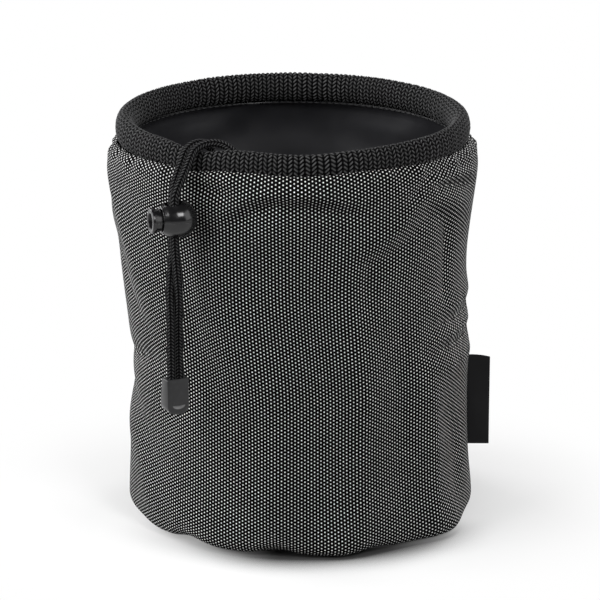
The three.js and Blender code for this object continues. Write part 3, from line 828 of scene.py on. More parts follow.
# %% Tag shell and cover
TAG_HEIGHT = 83.3 * MM
TAG_TURN = math.radians(27)
TAG_PLACE = on_cord(TAG_HEIGHT, TAG_TURN)
TAG_EDGE = 0.35 * MM
COVER_EDGE = 0.2 * MM
SCOOP_PLACE_MM = (0.3, -2.62, -11.6)
SCOOP_SIZE_MM = (3.6, 1.15, 2.1)
SCOOP_SIDES = 48
SCOOP_CUT = (0, 0.01, 0)
FLAT_ANGLE = math.radians(2)
WELD_GAP = 0.002 * MM


def copy_of_solid(node, name):
    """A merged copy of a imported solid, with the triangles of each flat face joined into one."""
    piece = add_object(name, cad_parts[node].data.copy())
    weld = piece.modifiers.new("weld", "WELD")
    weld.merge_threshold = WELD_GAP
    flat = piece.modifiers.new("flat", "DECIMATE")
    flat.decimate_type = "DISSOLVE"
    flat.angle_limit = FLAT_ANGLE
    return settle(piece)


def scoop():
    """Half a flat cone, which leaves a half-moon in the tag's front with a floor that faces up."""
    shape = bmesh.new()
    bmesh.ops.create_cone(shape, cap_ends=True, segments=SCOOP_SIDES, radius1=1, radius2=0, depth=1)
    everything = shape.verts[:] + shape.edges[:] + shape.faces[:]
    cut = bmesh.ops.bisect_plane(
        shape, geom=everything, plane_co=SCOOP_CUT, plane_no=(0, -1, 0), clear_outer=True
    )
    rim = [e for e in cut["geom_cut"] if isinstance(e, bmesh.types.BMEdge)]
    bmesh.ops.contextual_create(shape, geom=rim)
    scale = Matrix.Diagonal((*[c * MM for c in SCOOP_SIZE_MM], 1))
    turn = Matrix.Rotation(math.radians(-90), 4, "X")
    shape.transform(TAG_PLACE @ Matrix.Translation(Vector(SCOOP_PLACE_MM) * MM) @ scale @ turn)
    if shape.calc_volume(signed=True) < 0:
        bmesh.ops.reverse_faces(shape, faces=shape.faces[:])
    mesh = bpy.data.meshes.new("scoop")
    shape.to_mesh(mesh)
    shape.free()
    return add_object("scoop", mesh)


tag_shell = copy_of_solid("cord_end_shell", "tag_shell")
cut_with(tag_shell, scoop())
soften(tag_shell, TAG_EDGE)
tag_cover = soften(copy_of_solid("cord_end_cover", "tag_cover"), COVER_EDGE)
report(tag_shell, tag_cover)

# %% Knot inside the tag
KNOT_THREAD = 2.2 * MM
KNOT_SIZE_MM = np.array([2.0, 0.4, 2.6])
KNOT_POINTS = 90
KNOT_OPENING = 3


def knot_line():
    """An overhand knot, squeezed into the tag's hollow."""
    low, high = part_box("cord_knot")
    turn = np.linspace(0, 2 * math.pi, KNOT_POINTS)[:-KNOT_OPENING]
    x = (np.sin(turn) + 2 * np.sin(2 * turn)) / 3
    y = -np.sin(3 * turn)
    z = (np.cos(turn) - 2 * np.cos(2 * turn)) / 3
    facing = np.array(Matrix.Rotation(TAG_TURN, 3, "Z"))
    return np.stack([x, y, z], axis=1) * (KNOT_SIZE_MM * MM) @ facing.T + np.array((low + high) / 2)


knot, knot_points = knitted_cord("tag_knot", knot_line(), KNOT_THREAD)
print("knot of", round(lengths_along(knot_points, False)[-1], 4), "m of cord in the tag")

# %% [markdown]
# ## The side label
# The label is a woven tape, folded over and sewn into the side seam. A thin box would lose its round fold,
# so it is a strip bent to a narrow U, which the Solidify modifier gives its thickness. It stays bare.

# %% Label
LABEL_AXIS = 77.0875 * MM
LABEL_TUCK = 2.6 * MM
LABEL_LOW = 27.5 * MM
LABEL_HIGH = 69.5 * MM
LABEL_REACH = 8.4 * MM
LABEL_ROWS = 64
LABEL_COLUMNS = 60
LABEL_WAVE = 0.35 * MM
LABEL_WAVE_LENGTH = 5.2
LABEL_WAVE_START = -0.6
LABEL_DROOP = 0.9 * MM
LABEL_SHARP = math.radians(50)
TAPE_THICKNESS = 0.42 * MM
TAPE_GAP = 0.4 * MM
TAPE_BELLY = (2.5 * MM, 0.46 * MM)
TAPE_FOLD_HALF = 1.57
TAPE_FOLD_POINTS = 9


def tape_plan():
    """The folded tape seen from above, from one end in the seam to the other."""
    arc = np.linspace(-TAPE_FOLD_HALF, TAPE_FOLD_HALF, TAPE_FOLD_POINTS)
    fold = [(LABEL_REACH - TAPE_GAP + TAPE_GAP * math.cos(a), TAPE_GAP * math.sin(a)) for a in arc]
    reach, apart = TAPE_BELLY
    near = [(-LABEL_TUCK, -TAPE_GAP), (reach, -apart)]
    far = [(reach, apart), (-LABEL_TUCK, TAPE_GAP)]
    return smooth_line([*near, *fold, *far], LABEL_COLUMNS)


def folded_label():
    plan = tape_plan()
    run = lengths_along(plan, False)
    heights = np.linspace(LABEL_LOW, LABEL_HIGH, LABEL_ROWS)
    share = ((heights - LABEL_LOW) / (LABEL_HIGH - LABEL_LOW))[:, None]
    outward = (plan[:, 0] / LABEL_REACH) ** 2
    wave = LABEL_WAVE * np.sin(LABEL_WAVE_LENGTH * share + LABEL_WAVE_START) * outward
    droop = LABEL_DROOP * share * outward
    places = np.broadcast_arrays(LABEL_AXIS + plan[:, 0], plan[:, 1] + wave, heights[:, None] - droop)
    faces, i, j = grid_faces(LABEL_ROWS, LABEL_COLUMNS, False, False)
    label = make_piece("folded_label", np.stack(places, axis=-1).reshape(-1, 3), faces)
    lay_map(label.data, i, j, run, heights)
    thick = label.modifiers.new("tape", "SOLIDIFY")
    thick.thickness = TAPE_THICKNESS
    thick.offset = 0
    settle(label)
    shade_smooth(label.data)
    label.data.set_sharp_from_angle(angle=LABEL_SHARP)
    return label, run[-1]


side_label, tape_length = folded_label()
print(side_label.name, "from", round(tape_length, 4), "m of tape")

# %% [markdown]
# ## Stitches and the lock's spring
# Stitches repeat along a path, so Geometry Nodes make them: a tree resamples the path to one point for each
# stitch and sets a small thread there, turned along the path. The spring follows a rule as well: a
# cone-shaped spiral, which the tree turns into wire. Both trees realize their result, and it is kept as a
# plain mesh.

# %% Node helpers
def set_inputs(tree, node, inputs):
    """Links each input that is given a socket, and sets each one that is given a value."""
    for key, value in inputs.items():
        if isinstance(value, bpy.types.NodeSocket):
            tree.links.new(value, node.inputs[key])
        else:
            node.inputs[key].default_value = value


def put(tree, kind, inputs=None, **settings):
    """Adds a node with its properties and inputs, and gives its outputs."""
    made = tree.nodes.new(kind)
    for key, value in settings.items():
        setattr(made, key, value)
    set_inputs(tree, made, inputs or {})
    return made.outputs


def shape_tree(name, sizes):
    """A Geometry Nodes tree with a geometry input and output and a named input for each size."""
    tree = bpy.data.node_groups.new(name, "GeometryNodeTree")
    tree.interface.new_socket("Geometry", in_out="INPUT", socket_type="NodeSocketGeometry")
    for label in sizes:
        tree.interface.new_socket(label, in_out="INPUT", socket_type="NodeSocketFloat")
    tree.interface.new_socket("Finish", in_out="INPUT", socket_type="NodeSocketMaterial")
    tree.interface.new_socket("Geometry", in_out="OUTPUT", socket_type="NodeSocketGeometry")
    return tree, tree.nodes.new("NodeGroupInput").outputs


def end_tree(tree, geometry, given):
    """Ends a tree with Realize Instances and Set Material."""
    real = put(tree, "GeometryNodeRealizeInstances", {"Geometry": geometry})[0]
    dressed = put(tree, "GeometryNodeSetMaterial", {"Geometry": real, "Material": given["Finish"]})[0]
    tree.links.new(dressed, tree.nodes.new("NodeGroupOutput").inputs["Geometry"])


def grow(piece, tree, values):
    """Runs a tree on a piece with its inputs set, and keeps the result as a plain mesh."""
    modifier = piece.modifiers.new(tree.name, "NODES")
    modifier.node_group = tree
    for item in tree.interface.items_tree:
        if item.in_out == "INPUT" and item.name in values:
            modifier[item.identifier] = values[item.name]
    settle(piece)
    shade_smooth(piece.data)
    return piece


def bare_finish(name):
    """A material that is filled in further below."""
    finish = bpy.data.materials.new(name)
    finish.use_nodes = True
    return finish


thread_finish = bare_finish("sewing_thread")
spring_finish = bare_finish("spring_wire")
print("waiting for their looks:", thread_finish.name, spring_finish.name)

# %% Seam stitches
RIM_SEAM = (73.9 * MM, 168.55 * MM)
BASE_SEAM = (66.6 * MM, 0.05 * MM)
SEAM_POINTS = 240
STITCH_SIZES = {"Stitch Pitch": 3.2 * MM, "Stitch Length": 2.6 * MM, "Thread Width": 0.55 * MM}
THREAD_SHAPE = {"Segments": 8, "Rings": 5, "Radius": 0.5}


def stitch_tree():
    tree, given = shape_tree("seam_stitches", STITCH_SIZES)
    path = put(tree, "GeometryNodeMeshToCurve", {"Mesh": given["Geometry"]})[0]
    steps = {"Curve": path, "Length": given["Stitch Pitch"]}
    places = put(tree, "GeometryNodeResampleCurve", steps, mode="LENGTH")[0]
    tangent = put(tree, "GeometryNodeInputTangent")[0]
    turn = put(tree, "FunctionNodeAlignRotationToVector", {"Vector": tangent}, axis="Z")[0]
    thread = put(tree, "GeometryNodeMeshUVSphere", THREAD_SHAPE)[0]
    sides = {"X": given["Thread Width"], "Y": given["Thread Width"], "Z": given["Stitch Length"]}
    size = put(tree, "ShaderNodeCombineXYZ", sides)[0]
    stitch = {"Points": places, "Instance": thread, "Rotation": turn, "Scale": size}
    end_tree(tree, put(tree, "GeometryNodeInstanceOnPoints", stitch)[0], given)
    return tree


def seam_stitches():
    """The threads where the lining meets the rim, and where the base meets the wall."""
    points = np.vstack([on_ring(azimuths(SEAM_POINTS), *seam) for seam in (RIM_SEAM, BASE_SEAM)])
    edges = []
    for start in range(0, len(points), SEAM_POINTS):
        edges += [(start + k, start + (k + 1) % SEAM_POINTS) for k in range(SEAM_POINTS)]
    mesh = bpy.data.meshes.new("seam_stitches")
    mesh.from_pydata(points.tolist(), edges, [])
    piece = add_object("seam_stitches", mesh)
    return grow(piece, stitch_tree(), {**STITCH_SIZES, "Finish": thread_finish})


stitches = seam_stitches()
report(stitches)

# %% Lock spring
SPRING_START = -7.775 * MM
SPRING_SIZES = {
    "Small Radius": 1.7 * MM,
    "Large Radius": 2.9 * MM,
    "Rise": 2.2 * MM,
    "Wire": 0.45 * MM,
    "Turns": 2.0,
}
SPRING_STEPS = 40
WIRE_SIDES = 12


def spring_tree():
    tree, given = shape_tree("cone_spring", SPRING_SIZES)
    rule = {
        "Resolution": SPRING_STEPS,
        "Rotations": given["Turns"],
        "Start Radius": given["Small Radius"],
        "End Radius": given["Large Radius"],
        "Height": given["Rise"],
    }
    spiral = put(tree, "GeometryNodeCurveSpiral", rule)[0]
    half = put(tree, "ShaderNodeMath", {0: given["Wire"], 1: 0.5}, operation="MULTIPLY")[0]
    circle = put(tree, "GeometryNodeCurvePrimitiveCircle", {"Resolution": WIRE_SIDES, "Radius": half})[0]
    wire = {"Curve": spiral, "Profile Curve": circle, "Fill Caps": True}
    end_tree(tree, put(tree, "GeometryNodeCurveToMesh", wire)[0], given)
    return tree


def cone_spring():
    piece = make_piece("lock_spring_wire", [(0, 0, 0), (MM, 0, 0), (0, MM, 0)], [[0, 1, 2]])
    grow(piece, spring_tree(), {**SPRING_SIZES, "Finish": spring_finish})
    upright = Matrix.Rotation(math.radians(-90), 4, "X")
    piece.data.transform(LOCK_PLACE @ Matrix.Translation((0, SPRING_START, 0)) @ upright)
    return piece


lock_spring = cone_spring()
report(lock_spring)

# %% [markdown]
# ## Shared effects for the finishes
# Two effects are used by more than one finish, so each is a node group: the soft unevenness of threads and
# fibres, and the fine grain of moulded plastic. The pale points of the weave are a group as well, so that
# their sizes have names. A group only gives masks and values. The shader itself stays in each finish, where
# its own constants are set.

# %% Values in a node tree
def shader_group(name, sizes):
    """A shader node group with a place and named sizes as its inputs."""
    tree = bpy.data.node_groups.new(name, "ShaderNodeTree")
    tree.interface.new_socket("Place", in_out="INPUT", socket_type="NodeSocketVector")
    for label, value in sizes.items():
        socket = tree.interface.new_socket(label, in_out="INPUT", socket_type="NodeSocketFloat")
        socket.default_value = value
    return tree, tree.nodes.new("NodeGroupInput").outputs


def end_group(tree, results):
    """Gives a group its named outputs."""
    for label in results:
        tree.interface.new_socket(label, in_out="OUTPUT", socket_type="NodeSocketFloat")
    set_inputs(tree, tree.nodes.new("NodeGroupOutput"), results)
    return tree


def maths(tree, operation, a, b=0.0, c=0.0):
    return put(tree, "ShaderNodeMath", {0: a, 1: b, 2: c}, operation=operation)[0]


def ramp(tree, value, low, high, to_low=0.0, to_high=1.0):
    """A smooth step of a value from one range to another."""
    sockets = {"Value": value, "From Min": low, "From Max": high, "To Min": to_low, "To Max": to_high}
    return put(tree, "ShaderNodeMapRange", sockets, interpolation_type="SMOOTHSTEP")[0]


def noise(tree, place, scale, detail):
    return put(tree, "ShaderNodeTexNoise", {"Vector": place, "Scale": scale, "Detail": detail})["Fac"]


def fine_noise(tree, given, detail):
    """A noise at the size that the group is given."""
    scaling = {0: given["Place"], "Scale": maths(tree, "DIVIDE", 1.0, given["Size"])}
    return noise(tree, put(tree, "ShaderNodeVectorMath", scaling, operation="SCALE")[0], 1.0, detail)


print("groups are built from sums, smooth steps and noise")

# %% Node groups
WEAVE_SIZES = {
    "Column Pitch": WEAVE_COLUMN_PITCH,
    "Point Pitch": 1.64 * MM,
    "Point Width": 0.63 * MM,
    "Point Height": 0.63 * MM,
}
POINT_EDGE = (1.2, 0.75)
POINT_SLOPE = (1.5, 0.0)
# Scale and detail of the coarse noises, detail of the fine ones
DRIFT_NOISE = (60.0, 3.0)
FIBRE_DETAIL = 2.0
RUB_NOISE = (320.0, 4.0)
RUB_RANGE = (0.45, 0.7)
GRAIN_DETAIL = 1.0


def weave_group():
    """Pale points in columns, each column half a step above the one before."""
    tree, given = shader_group("woven_points", WEAVE_SIZES)
    place = put(tree, "ShaderNodeSeparateXYZ", {"Vector": given["Place"]})
    x = maths(tree, "DIVIDE", place["X"], given["Column Pitch"])
    column = maths(tree, "FLOOR", x)
    odd = maths(tree, "FLOORED_MODULO", column, 2.0)
    y = maths(tree, "MULTIPLY_ADD", odd, 0.5, maths(tree, "DIVIDE", place["Y"], given["Point Pitch"]))
    squares = []
    for value, pitch, size in ((x, "Column Pitch", "Point Width"), (y, "Point Pitch", "Point Height")):
        from_middle = maths(tree, "SUBTRACT", maths(tree, "FRACT", value), 0.5)
        gap = maths(tree, "MULTIPLY", from_middle, given[pitch])
        share = maths(tree, "DIVIDE", gap, maths(tree, "MULTIPLY", given[size], 0.5))
        squares.append(maths(tree, "MULTIPLY", share, share))
    distance = maths(tree, "SQRT", maths(tree, "ADD", *squares))
    cell = put(tree, "ShaderNodeCombineXYZ", {"X": column, "Y": maths(tree, "FLOOR", y)})[0]
    shade = put(tree, "ShaderNodeTexWhiteNoise", {"Vector": cell}, noise_dimensions="2D")["Value"]
    points = ramp(tree, distance, *POINT_EDGE)
    return end_group(tree, {"Points": points, "Height": ramp(tree, distance, *POINT_SLOPE), "Shade": shade})


def fuzz_group():
    """Uneven threads: a coarse drift and a fine fibre noise."""
    tree, given = shader_group("thread_fuzz", {"Size": 0.4 * MM})
    drift = noise(tree, given["Place"], *DRIFT_NOISE)
    return end_group(tree, {"Drift": drift, "Fibre": fine_noise(tree, given, FIBRE_DETAIL)})


def grain_group():
    """Moulded plastic: a fine grain and faint rubbed patches."""
    tree, given = shader_group("moulded_grain", {"Size": 0.2 * MM})
    rub = ramp(tree, noise(tree, given["Place"], *RUB_NOISE), *RUB_RANGE)
    return end_group(tree, {"Grain": fine_noise(tree, given, GRAIN_DETAIL), "Rub": rub})


weave = weave_group()
fuzz = fuzz_group()
grain = grain_group()
print("groups:", weave.name, fuzz.name, grain.name)

# %% [markdown]
# ## Finishes of the cloths
# The wall's cloth is black with pale threads that surface as small points, in columns a millimetre and a
# half apart. A picture of the cloth would blur close up, so nodes draw each point. The rim and the cord are
# black yarn, with a painted highlight on the crowns of the loops and painted shade in the grooves, both
# tinted from the loops' own height. The lining is smooth and coated.

# %% Helpers for the finishes
def group_at(tree, group, place, size=None):
    """Places a node group on a surface, with a size of its own where it takes one."""
    inputs = {"Place": place} if size is None else {"Place": place, "Size": size}
    return put(tree, "ShaderNodeGroup", inputs, node_tree=group)


def tint(tree, share, dark, pale):
    """A colour between two, by a share from 0 to 1."""
    colours = {"Factor": share, 6: (*dark, 1), 7: (*pale, 1)}
    return put(tree, "ShaderNodeMix", colours, data_type="RGBA")[2]


def bump(tree, height, depth, under=None):
    inputs = {"Height": height, "Distance": depth, "Strength": 1.0}
    if under is not None:
        inputs["Normal"] = under
    return put(tree, "ShaderNodeBump", inputs)[0]


def cloth_place(tree):
    return put(tree, "ShaderNodeUVMap", uv_map="cloth")[0]


def object_place(tree):
    return put(tree, "ShaderNodeTexCoord")["Object"]


def set_shader(finish, inputs):
    """Sets or links the inputs of a finish's own shader."""
    set_inputs(finish.node_tree, finish.node_tree.nodes["Principled BSDF"], inputs)
    return finish


print("a finish reads the map named cloth, or Object coordinates")

# %% Woven cloth
WEAVE_DARK = (0.001, 0.001, 0.0011)
WEAVE_PALE = (0.87, 0.87, 0.865)
WEAVE_DEPTH = 0.1 * MM
WEAVE_FIBRE_SIZE = 0.22 * MM
WEAVE_FIBRE_DEPTH = 0.04 * MM
WEAVE_DRIFT = (0.25, 0.75, 0.94, 1.04)
POINT_SHADE_RANGE = 0.24
POINT_SHADE_LEAST = 0.8


def woven_finish():
    finish = bare_finish("woven_two_tone_cloth")
    tree = finish.node_tree
    place = cloth_place(tree)
    points = group_at(tree, weave, place)
    threads = group_at(tree, fuzz, place, WEAVE_FIBRE_SIZE)
    shade = maths(tree, "MULTIPLY_ADD", points["Shade"], POINT_SHADE_RANGE, POINT_SHADE_LEAST)
    pale_share = maths(tree, "MULTIPLY", points["Points"], shade)
    shared = maths(tree, "MULTIPLY", pale_share, ramp(tree, threads["Drift"], *WEAVE_DRIFT))
    weave_normal = bump(tree, points["Height"], WEAVE_DEPTH)
    return set_shader(finish, {
        "Base Color": tint(tree, shared, WEAVE_DARK, WEAVE_PALE),
        "Normal": bump(tree, threads["Fibre"], WEAVE_FIBRE_DEPTH, weave_normal),
        "Roughness": 0.72,
        "Specular IOR Level": 0.04,
    })


cloth_finish = woven_finish()
print("wall and base:", cloth_finish.name)

# %% Knit
# Each pair: the black of the yarn, which is also the painted shade of the grooves, and the painted
# highlight of the crowns
RIM_YARN_AND_CROWN_HIGHLIGHT = ((0.0006, 0.0006, 0.0007), (0.135, 0.135, 0.137))
CORD_YARN_AND_CROWN_HIGHLIGHT = ((0.0007, 0.0007, 0.0008), (0.088, 0.088, 0.09))
CROWN_HIGHLIGHT_POWER = 2.1
YARN_FIBRE_SIZE = 0.18 * MM
YARN_FIBRE_DEPTH = 0.08 * MM
YARN_FIBRES = (0.2, 0.8, 0.6, 1.2)
YARN_ROUGHNESS = (0.2, 0.8, 0.72, 0.9)


def knit_finish(name, dark, pale):
    """Black yarn with a painted highlight on the crowns of its loops and painted shade in its grooves."""
    finish = bare_finish(name)
    tree = finish.node_tree
    relief = put(tree, "ShaderNodeAttribute", attribute_name="relief")["Fac"]
    threads = group_at(tree, fuzz, object_place(tree), YARN_FIBRE_SIZE)
    # The loops' height paints a highlight on the crowns and shade in the grooves
    sharp = maths(tree, "POWER", relief, CROWN_HIGHLIGHT_POWER)
    crown_highlight = maths(tree, "MULTIPLY", sharp, ramp(tree, threads["Fibre"], *YARN_FIBRES))
    return set_shader(finish, {
        "Base Color": tint(tree, crown_highlight, dark, pale),
        "Roughness": ramp(tree, threads["Drift"], *YARN_ROUGHNESS),
        "Normal": bump(tree, threads["Fibre"], YARN_FIBRE_DEPTH),
        "Specular IOR Level": 0.03,
    })


rim_finish = knit_finish("black_rim_knit", *RIM_YARN_AND_CROWN_HIGHLIGHT)
cord_finish = knit_finish("black_cord_knit", *CORD_YARN_AND_CROWN_HIGHLIGHT)
print("rim and cord:", rim_finish.name, cord_finish.name)

# %% Lining, label and thread
LINING_COLOURS = ((0.012, 0.012, 0.014), (0.024, 0.024, 0.027))
LINING_FIBRE_SIZE = 0.35 * MM
LINING_FIBRE_DEPTH = 0.03 * MM
LINING_ROUGHNESS = (0.2, 0.8, 0.42, 0.55)
LABEL_COLOURS = ((0.004, 0.004, 0.0045), (0.013, 0.013, 0.014))
LABEL_FIBRE_SIZE = 0.2 * MM
LABEL_RIB_PITCH = 0.5 * MM
LABEL_RIB_SHARE = 0.3
LABEL_DEPTH = 0.06 * MM
THREAD_COLOURS = ((0.008, 0.008, 0.009), (0.03, 0.03, 0.032))
THREAD_FIBRE_SIZE = 0.15 * MM
THREAD_DEPTH = 0.05 * MM


def lining_finish():
    finish = bare_finish("coated_lining_cloth")
    tree = finish.node_tree
    threads = group_at(tree, fuzz, cloth_place(tree), LINING_FIBRE_SIZE)
    return set_shader(finish, {
        "Base Color": tint(tree, threads["Drift"], *LINING_COLOURS),
        "Roughness": ramp(tree, threads["Drift"], *LINING_ROUGHNESS),
        "Normal": bump(tree, threads["Fibre"], LINING_FIBRE_DEPTH),
    })


def label_finish():
    """A dense satin tape: fine ribs across it."""
    finish = bare_finish("woven_label_tape")
    tree = finish.node_tree
    place = cloth_place(tree)
    threads = group_at(tree, fuzz, place, LABEL_FIBRE_SIZE)
    along = put(tree, "ShaderNodeSeparateXYZ", {"Vector": place})["Y"]
    rib = maths(tree, "SINE", maths(tree, "MULTIPLY", along, 2 * math.pi / LABEL_RIB_PITCH))
    height = maths(tree, "MULTIPLY_ADD", rib, LABEL_RIB_SHARE, threads["Fibre"])
    return set_shader(finish, {
        "Base Color": tint(tree, threads["Drift"], *LABEL_COLOURS),
        "Normal": bump(tree, height, LABEL_DEPTH),
        "Roughness": 0.6,
        "Specular IOR Level": 0.15,
    })


def thread_look(finish):
    tree = finish.node_tree
    threads = group_at(tree, fuzz, object_place(tree), THREAD_FIBRE_SIZE)
    set_shader(finish, {
        "Base Color": tint(tree, threads["Fibre"], *THREAD_COLOURS),
        "Normal": bump(tree, threads["Fibre"], THREAD_DEPTH),
        "Roughness": 0.65,
    })


coated_finish = lining_finish()
tape_finish = label_finish()
thread_look(thread_finish)
print("lining, label and thread:", coated_finish.name, tape_finish.name, thread_finish.name)

# %% [markdown]
# ## Finishes of the mouldings
# The lock is gloss black plastic. Its two mould halves meet in a line along its middle height, so a thin
# groove is drawn there with a bump. The tag is a satin dark grey with a fine grain, and a painted highlight
# is put on the floor of its scoop. The spring is drawn steel wire.

# %% Lock plastic and wire
PLASTIC_COLOURS = ((0.0045, 0.0045, 0.005), (0.008, 0.008, 0.0085))
PLASTIC_GRAIN_SIZE = 0.25 * MM
PLASTIC_GRAIN_DEPTH = 0.004 * MM
PLASTIC_ROUGHNESS = (0.0, 1.0, 0.2, 0.27)
PARTING_LINE = (0.16 * MM, 0.04 * MM)
PARTING_DEPTH = 0.08 * MM
WIRE_COLOURS = ((0.42, 0.42, 0.43), (0.56, 0.56, 0.57))
WIRE_GRAIN_SIZE = 0.12 * MM
WIRE_ROUGHNESS = (0.2, 0.8, 0.22, 0.36)


def lock_finish():
    finish = bare_finish("gloss_black_plastic")
    tree = finish.node_tree
    place = object_place(tree)
    surface = group_at(tree, grain, place, PLASTIC_GRAIN_SIZE)
    height = put(tree, "ShaderNodeSeparateXYZ", {"Vector": place})["Z"]
    from_line = maths(tree, "ABSOLUTE", maths(tree, "SUBTRACT", height, LOCK_HEIGHT))
    line = ramp(tree, from_line, *PARTING_LINE)
    groove = bump(tree, maths(tree, "MULTIPLY", line, -1.0), PARTING_DEPTH)
    return set_shader(finish, {
        "Base Color": tint(tree, surface["Rub"], *PLASTIC_COLOURS),
        "Roughness": ramp(tree, surface["Rub"], *PLASTIC_ROUGHNESS),
        "Normal": bump(tree, surface["Grain"], PLASTIC_GRAIN_DEPTH, groove),
    })


def wire_look(finish):
    tree = finish.node_tree
    surface = group_at(tree, grain, object_place(tree), WIRE_GRAIN_SIZE)
    set_shader(finish, {
        "Base Color": tint(tree, surface["Rub"], *WIRE_COLOURS),
        "Roughness": ramp(tree, surface["Grain"], *WIRE_ROUGHNESS),
        "Metallic": 1.0,
    })


plastic_finish = lock_finish()
wire_look(spring_finish)
print("lock and spring:", plastic_finish.name, spring_finish.name)

# %% Tag plastic
# Where the floor of the scoop is in the tag, for its painted highlight: for each edge, where the mask
# starts and where it is full
SCOOP_DEEP_MM = ((-3.04, -2.9), (-1.9, -2.02))
SCOOP_HIGH_MM = ((-14.3, -13.9), (-11.3, -11.5))
SCOOP_WIDE_MM = (4.3, 4.0)
SATIN_AND_SCOOP_HIGHLIGHT_COLOURS = ((0.014, 0.014, 0.015), (0.2, 0.2, 0.202))
SATIN_GRAIN_SIZE = 0.22 * MM
SATIN_GRAIN_DEPTH = 0.012 * MM
SATIN_ROUGHNESS = (0.0, 1.0, 0.36, 0.46)
SATIN_RUB = 0.03
# How far the scoop's floor goes towards the pale colour as a painted highlight, and how much smoother it is
# there
SCOOP_HIGHLIGHT_SHARE = 0.8
SCOOP_ROUGHNESS_CHANGE = -0.12


def edge_mm(tree, value, edge):
    """One soft edge of a mask."""
    start, full = edge
    return ramp(tree, value, start * MM, full * MM)


def scoop_mask(tree, place):
    """1 on the floor of the tag's scoop, found by where it is in the tag, and 0 elsewhere."""
    where = {"Vector": place, "Location": TAG_PLACE.translation, "Rotation": TAG_PLACE.to_euler()}
    local = put(tree, "ShaderNodeMapping", where, vector_type="TEXTURE")[0]
    x, y, z = put(tree, "ShaderNodeSeparateXYZ", {"Vector": local})
    deep = maths(tree, "MULTIPLY", *[edge_mm(tree, y, edge) for edge in SCOOP_DEEP_MM])
    high = maths(tree, "MULTIPLY", *[edge_mm(tree, z, edge) for edge in SCOOP_HIGH_MM])
    wide = edge_mm(tree, maths(tree, "ABSOLUTE", x), SCOOP_WIDE_MM)
    return maths(tree, "MULTIPLY", maths(tree, "MULTIPLY", deep, high), wide)


def tag_finish():
    """Satin plastic, with a painted highlight and a smoother finish on the floor of the scoop."""
    finish = bare_finish("satin_grey_plastic")
    tree = finish.node_tree
    place = object_place(tree)
    surface = group_at(tree, grain, place, SATIN_GRAIN_SIZE)
    # A highlight is painted on the floor of the scoop, where it faces up towards the light
    pale_share = scoop_mask(tree, place)
    rubbed = maths(tree, "MULTIPLY", surface["Rub"], SATIN_RUB)
    satin = ramp(tree, surface["Rub"], *SATIN_ROUGHNESS)
    return set_shader(finish, {
        "Base Color": tint(tree, maths(tree, "MULTIPLY_ADD", pale_share, SCOOP_HIGHLIGHT_SHARE, rubbed), *SATIN_AND_SCOOP_HIGHLIGHT_COLOURS),
        "Roughness": maths(tree, "MULTIPLY_ADD", pale_share, SCOOP_ROUGHNESS_CHANGE, satin),
        "Normal": bump(tree, surface["Grain"], SATIN_GRAIN_DEPTH),
        "Specular IOR Level": 0.38,
    })


end_finish = tag_finish()
print("tag:", end_finish.name)

# %% [markdown]
# ## Putting each piece on its body
# Every piece now gets its finish, rides on the body that carries it, and takes the place of its plain
# solid. The strands cross the swing of the hanging cord, so they ride on no body, and the spring gets a
# mesh of its own.

# %% Bodies and finishes
PIECES = {
    "bag": [
        (outer_wall, cloth_finish, "woven_cloth", ["outer_wall"]),
        (base_cloth, cloth_finish, "woven_cloth", ["base_panel"]),
        (wall_lining, coated_finish, "coated_lining", ["wall_lining"]),
        (base_lining, coated_finish, "coated_lining", ["base_lining"]),
        (knitted_rim, rim_finish, "rib_knit", ["rim_channel"]),
        (hoop, cord_finish, "knit_cord", ["drawcord_hoop"]),
        (stitches, thread_finish, "knit_cord", []),
    ],
    "tail": [
        (tag_shell, end_finish, "end_plastic", ["cord_end_shell"]),
        (tag_cover, end_finish, "end_plastic", ["cord_end_cover"]),
        (knot, cord_finish, "knit_cord", ["cord_knot"]),
    ],
    "lock": [
        (lock_barrel, plastic_finish, "lock_plastic", ["lock_barrel"]),
        (lock_spring, spring_finish, "spring_steel", ["lock_spring"]),
    ],
    "button": [(lock_button, plastic_finish, "lock_plastic", ["lock_button"])],
    "label": [(side_label, tape_finish, "label_weave", ["side_label"])],
}


def dress(piece, finish, nodes):
    piece.data.materials.clear()
    piece.data.materials.append(finish)
    if nodes:
        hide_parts(*nodes)


for body, group in PIECES.items():
    for piece, finish, slot, nodes in group:
        dress(piece, finish, nodes)
        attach(piece, body)
    print(body, "carries", ", ".join(entry[0].name for entry in group))

for side, strand in strands.items():
    dress(strand, cord_finish, [side + "_exit_strand", side + "_tail_strand"])
    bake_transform(strand)
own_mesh(lock_spring)

# %% [markdown]
# ## Floor and light
# The bag stands on a plain white floor. Broad soft lights from both sides shape it, the left one stronger.
# A smaller one, above the camera and to its right, gives the lock its highlight. Two more behind the bag
# draw its edges, and the pale surroundings fill the rest. The lamps are at a plain level, so a colour looks
# as it is written. Away from the bag the camera sees the floor as plain white. Near it the floor keeps the
# bag's real soft shadow, and a shadow is painted on it as well, darkest in front of the bag.

# %% Floor
FLOOR_SIZE = 4.0
FLOOR_HEIGHT = -0.2 * MM
FLOOR_WHITE = 0.4
FLOOR_PAINTED_SHADOW_AND_WHITE = ((0.1, 0.1, 0.1), (0.85, 0.85, 0.85))
FLOOR_BOUNCE = (0.3, 0.3, 0.3, 1)
FLOOR_FADE = (0.08, 0.17)
CONTACT_REACH = 0.026
CONTACT_SAMPLES = 16
CONTACT_RANGE = (0.98, 0.42)
CONTACT_AHEAD = (-0.02, -0.066, 0.1, 1.0)
CONTACT_ASIDE = (-0.06, -0.008, 0.35, 1.0)


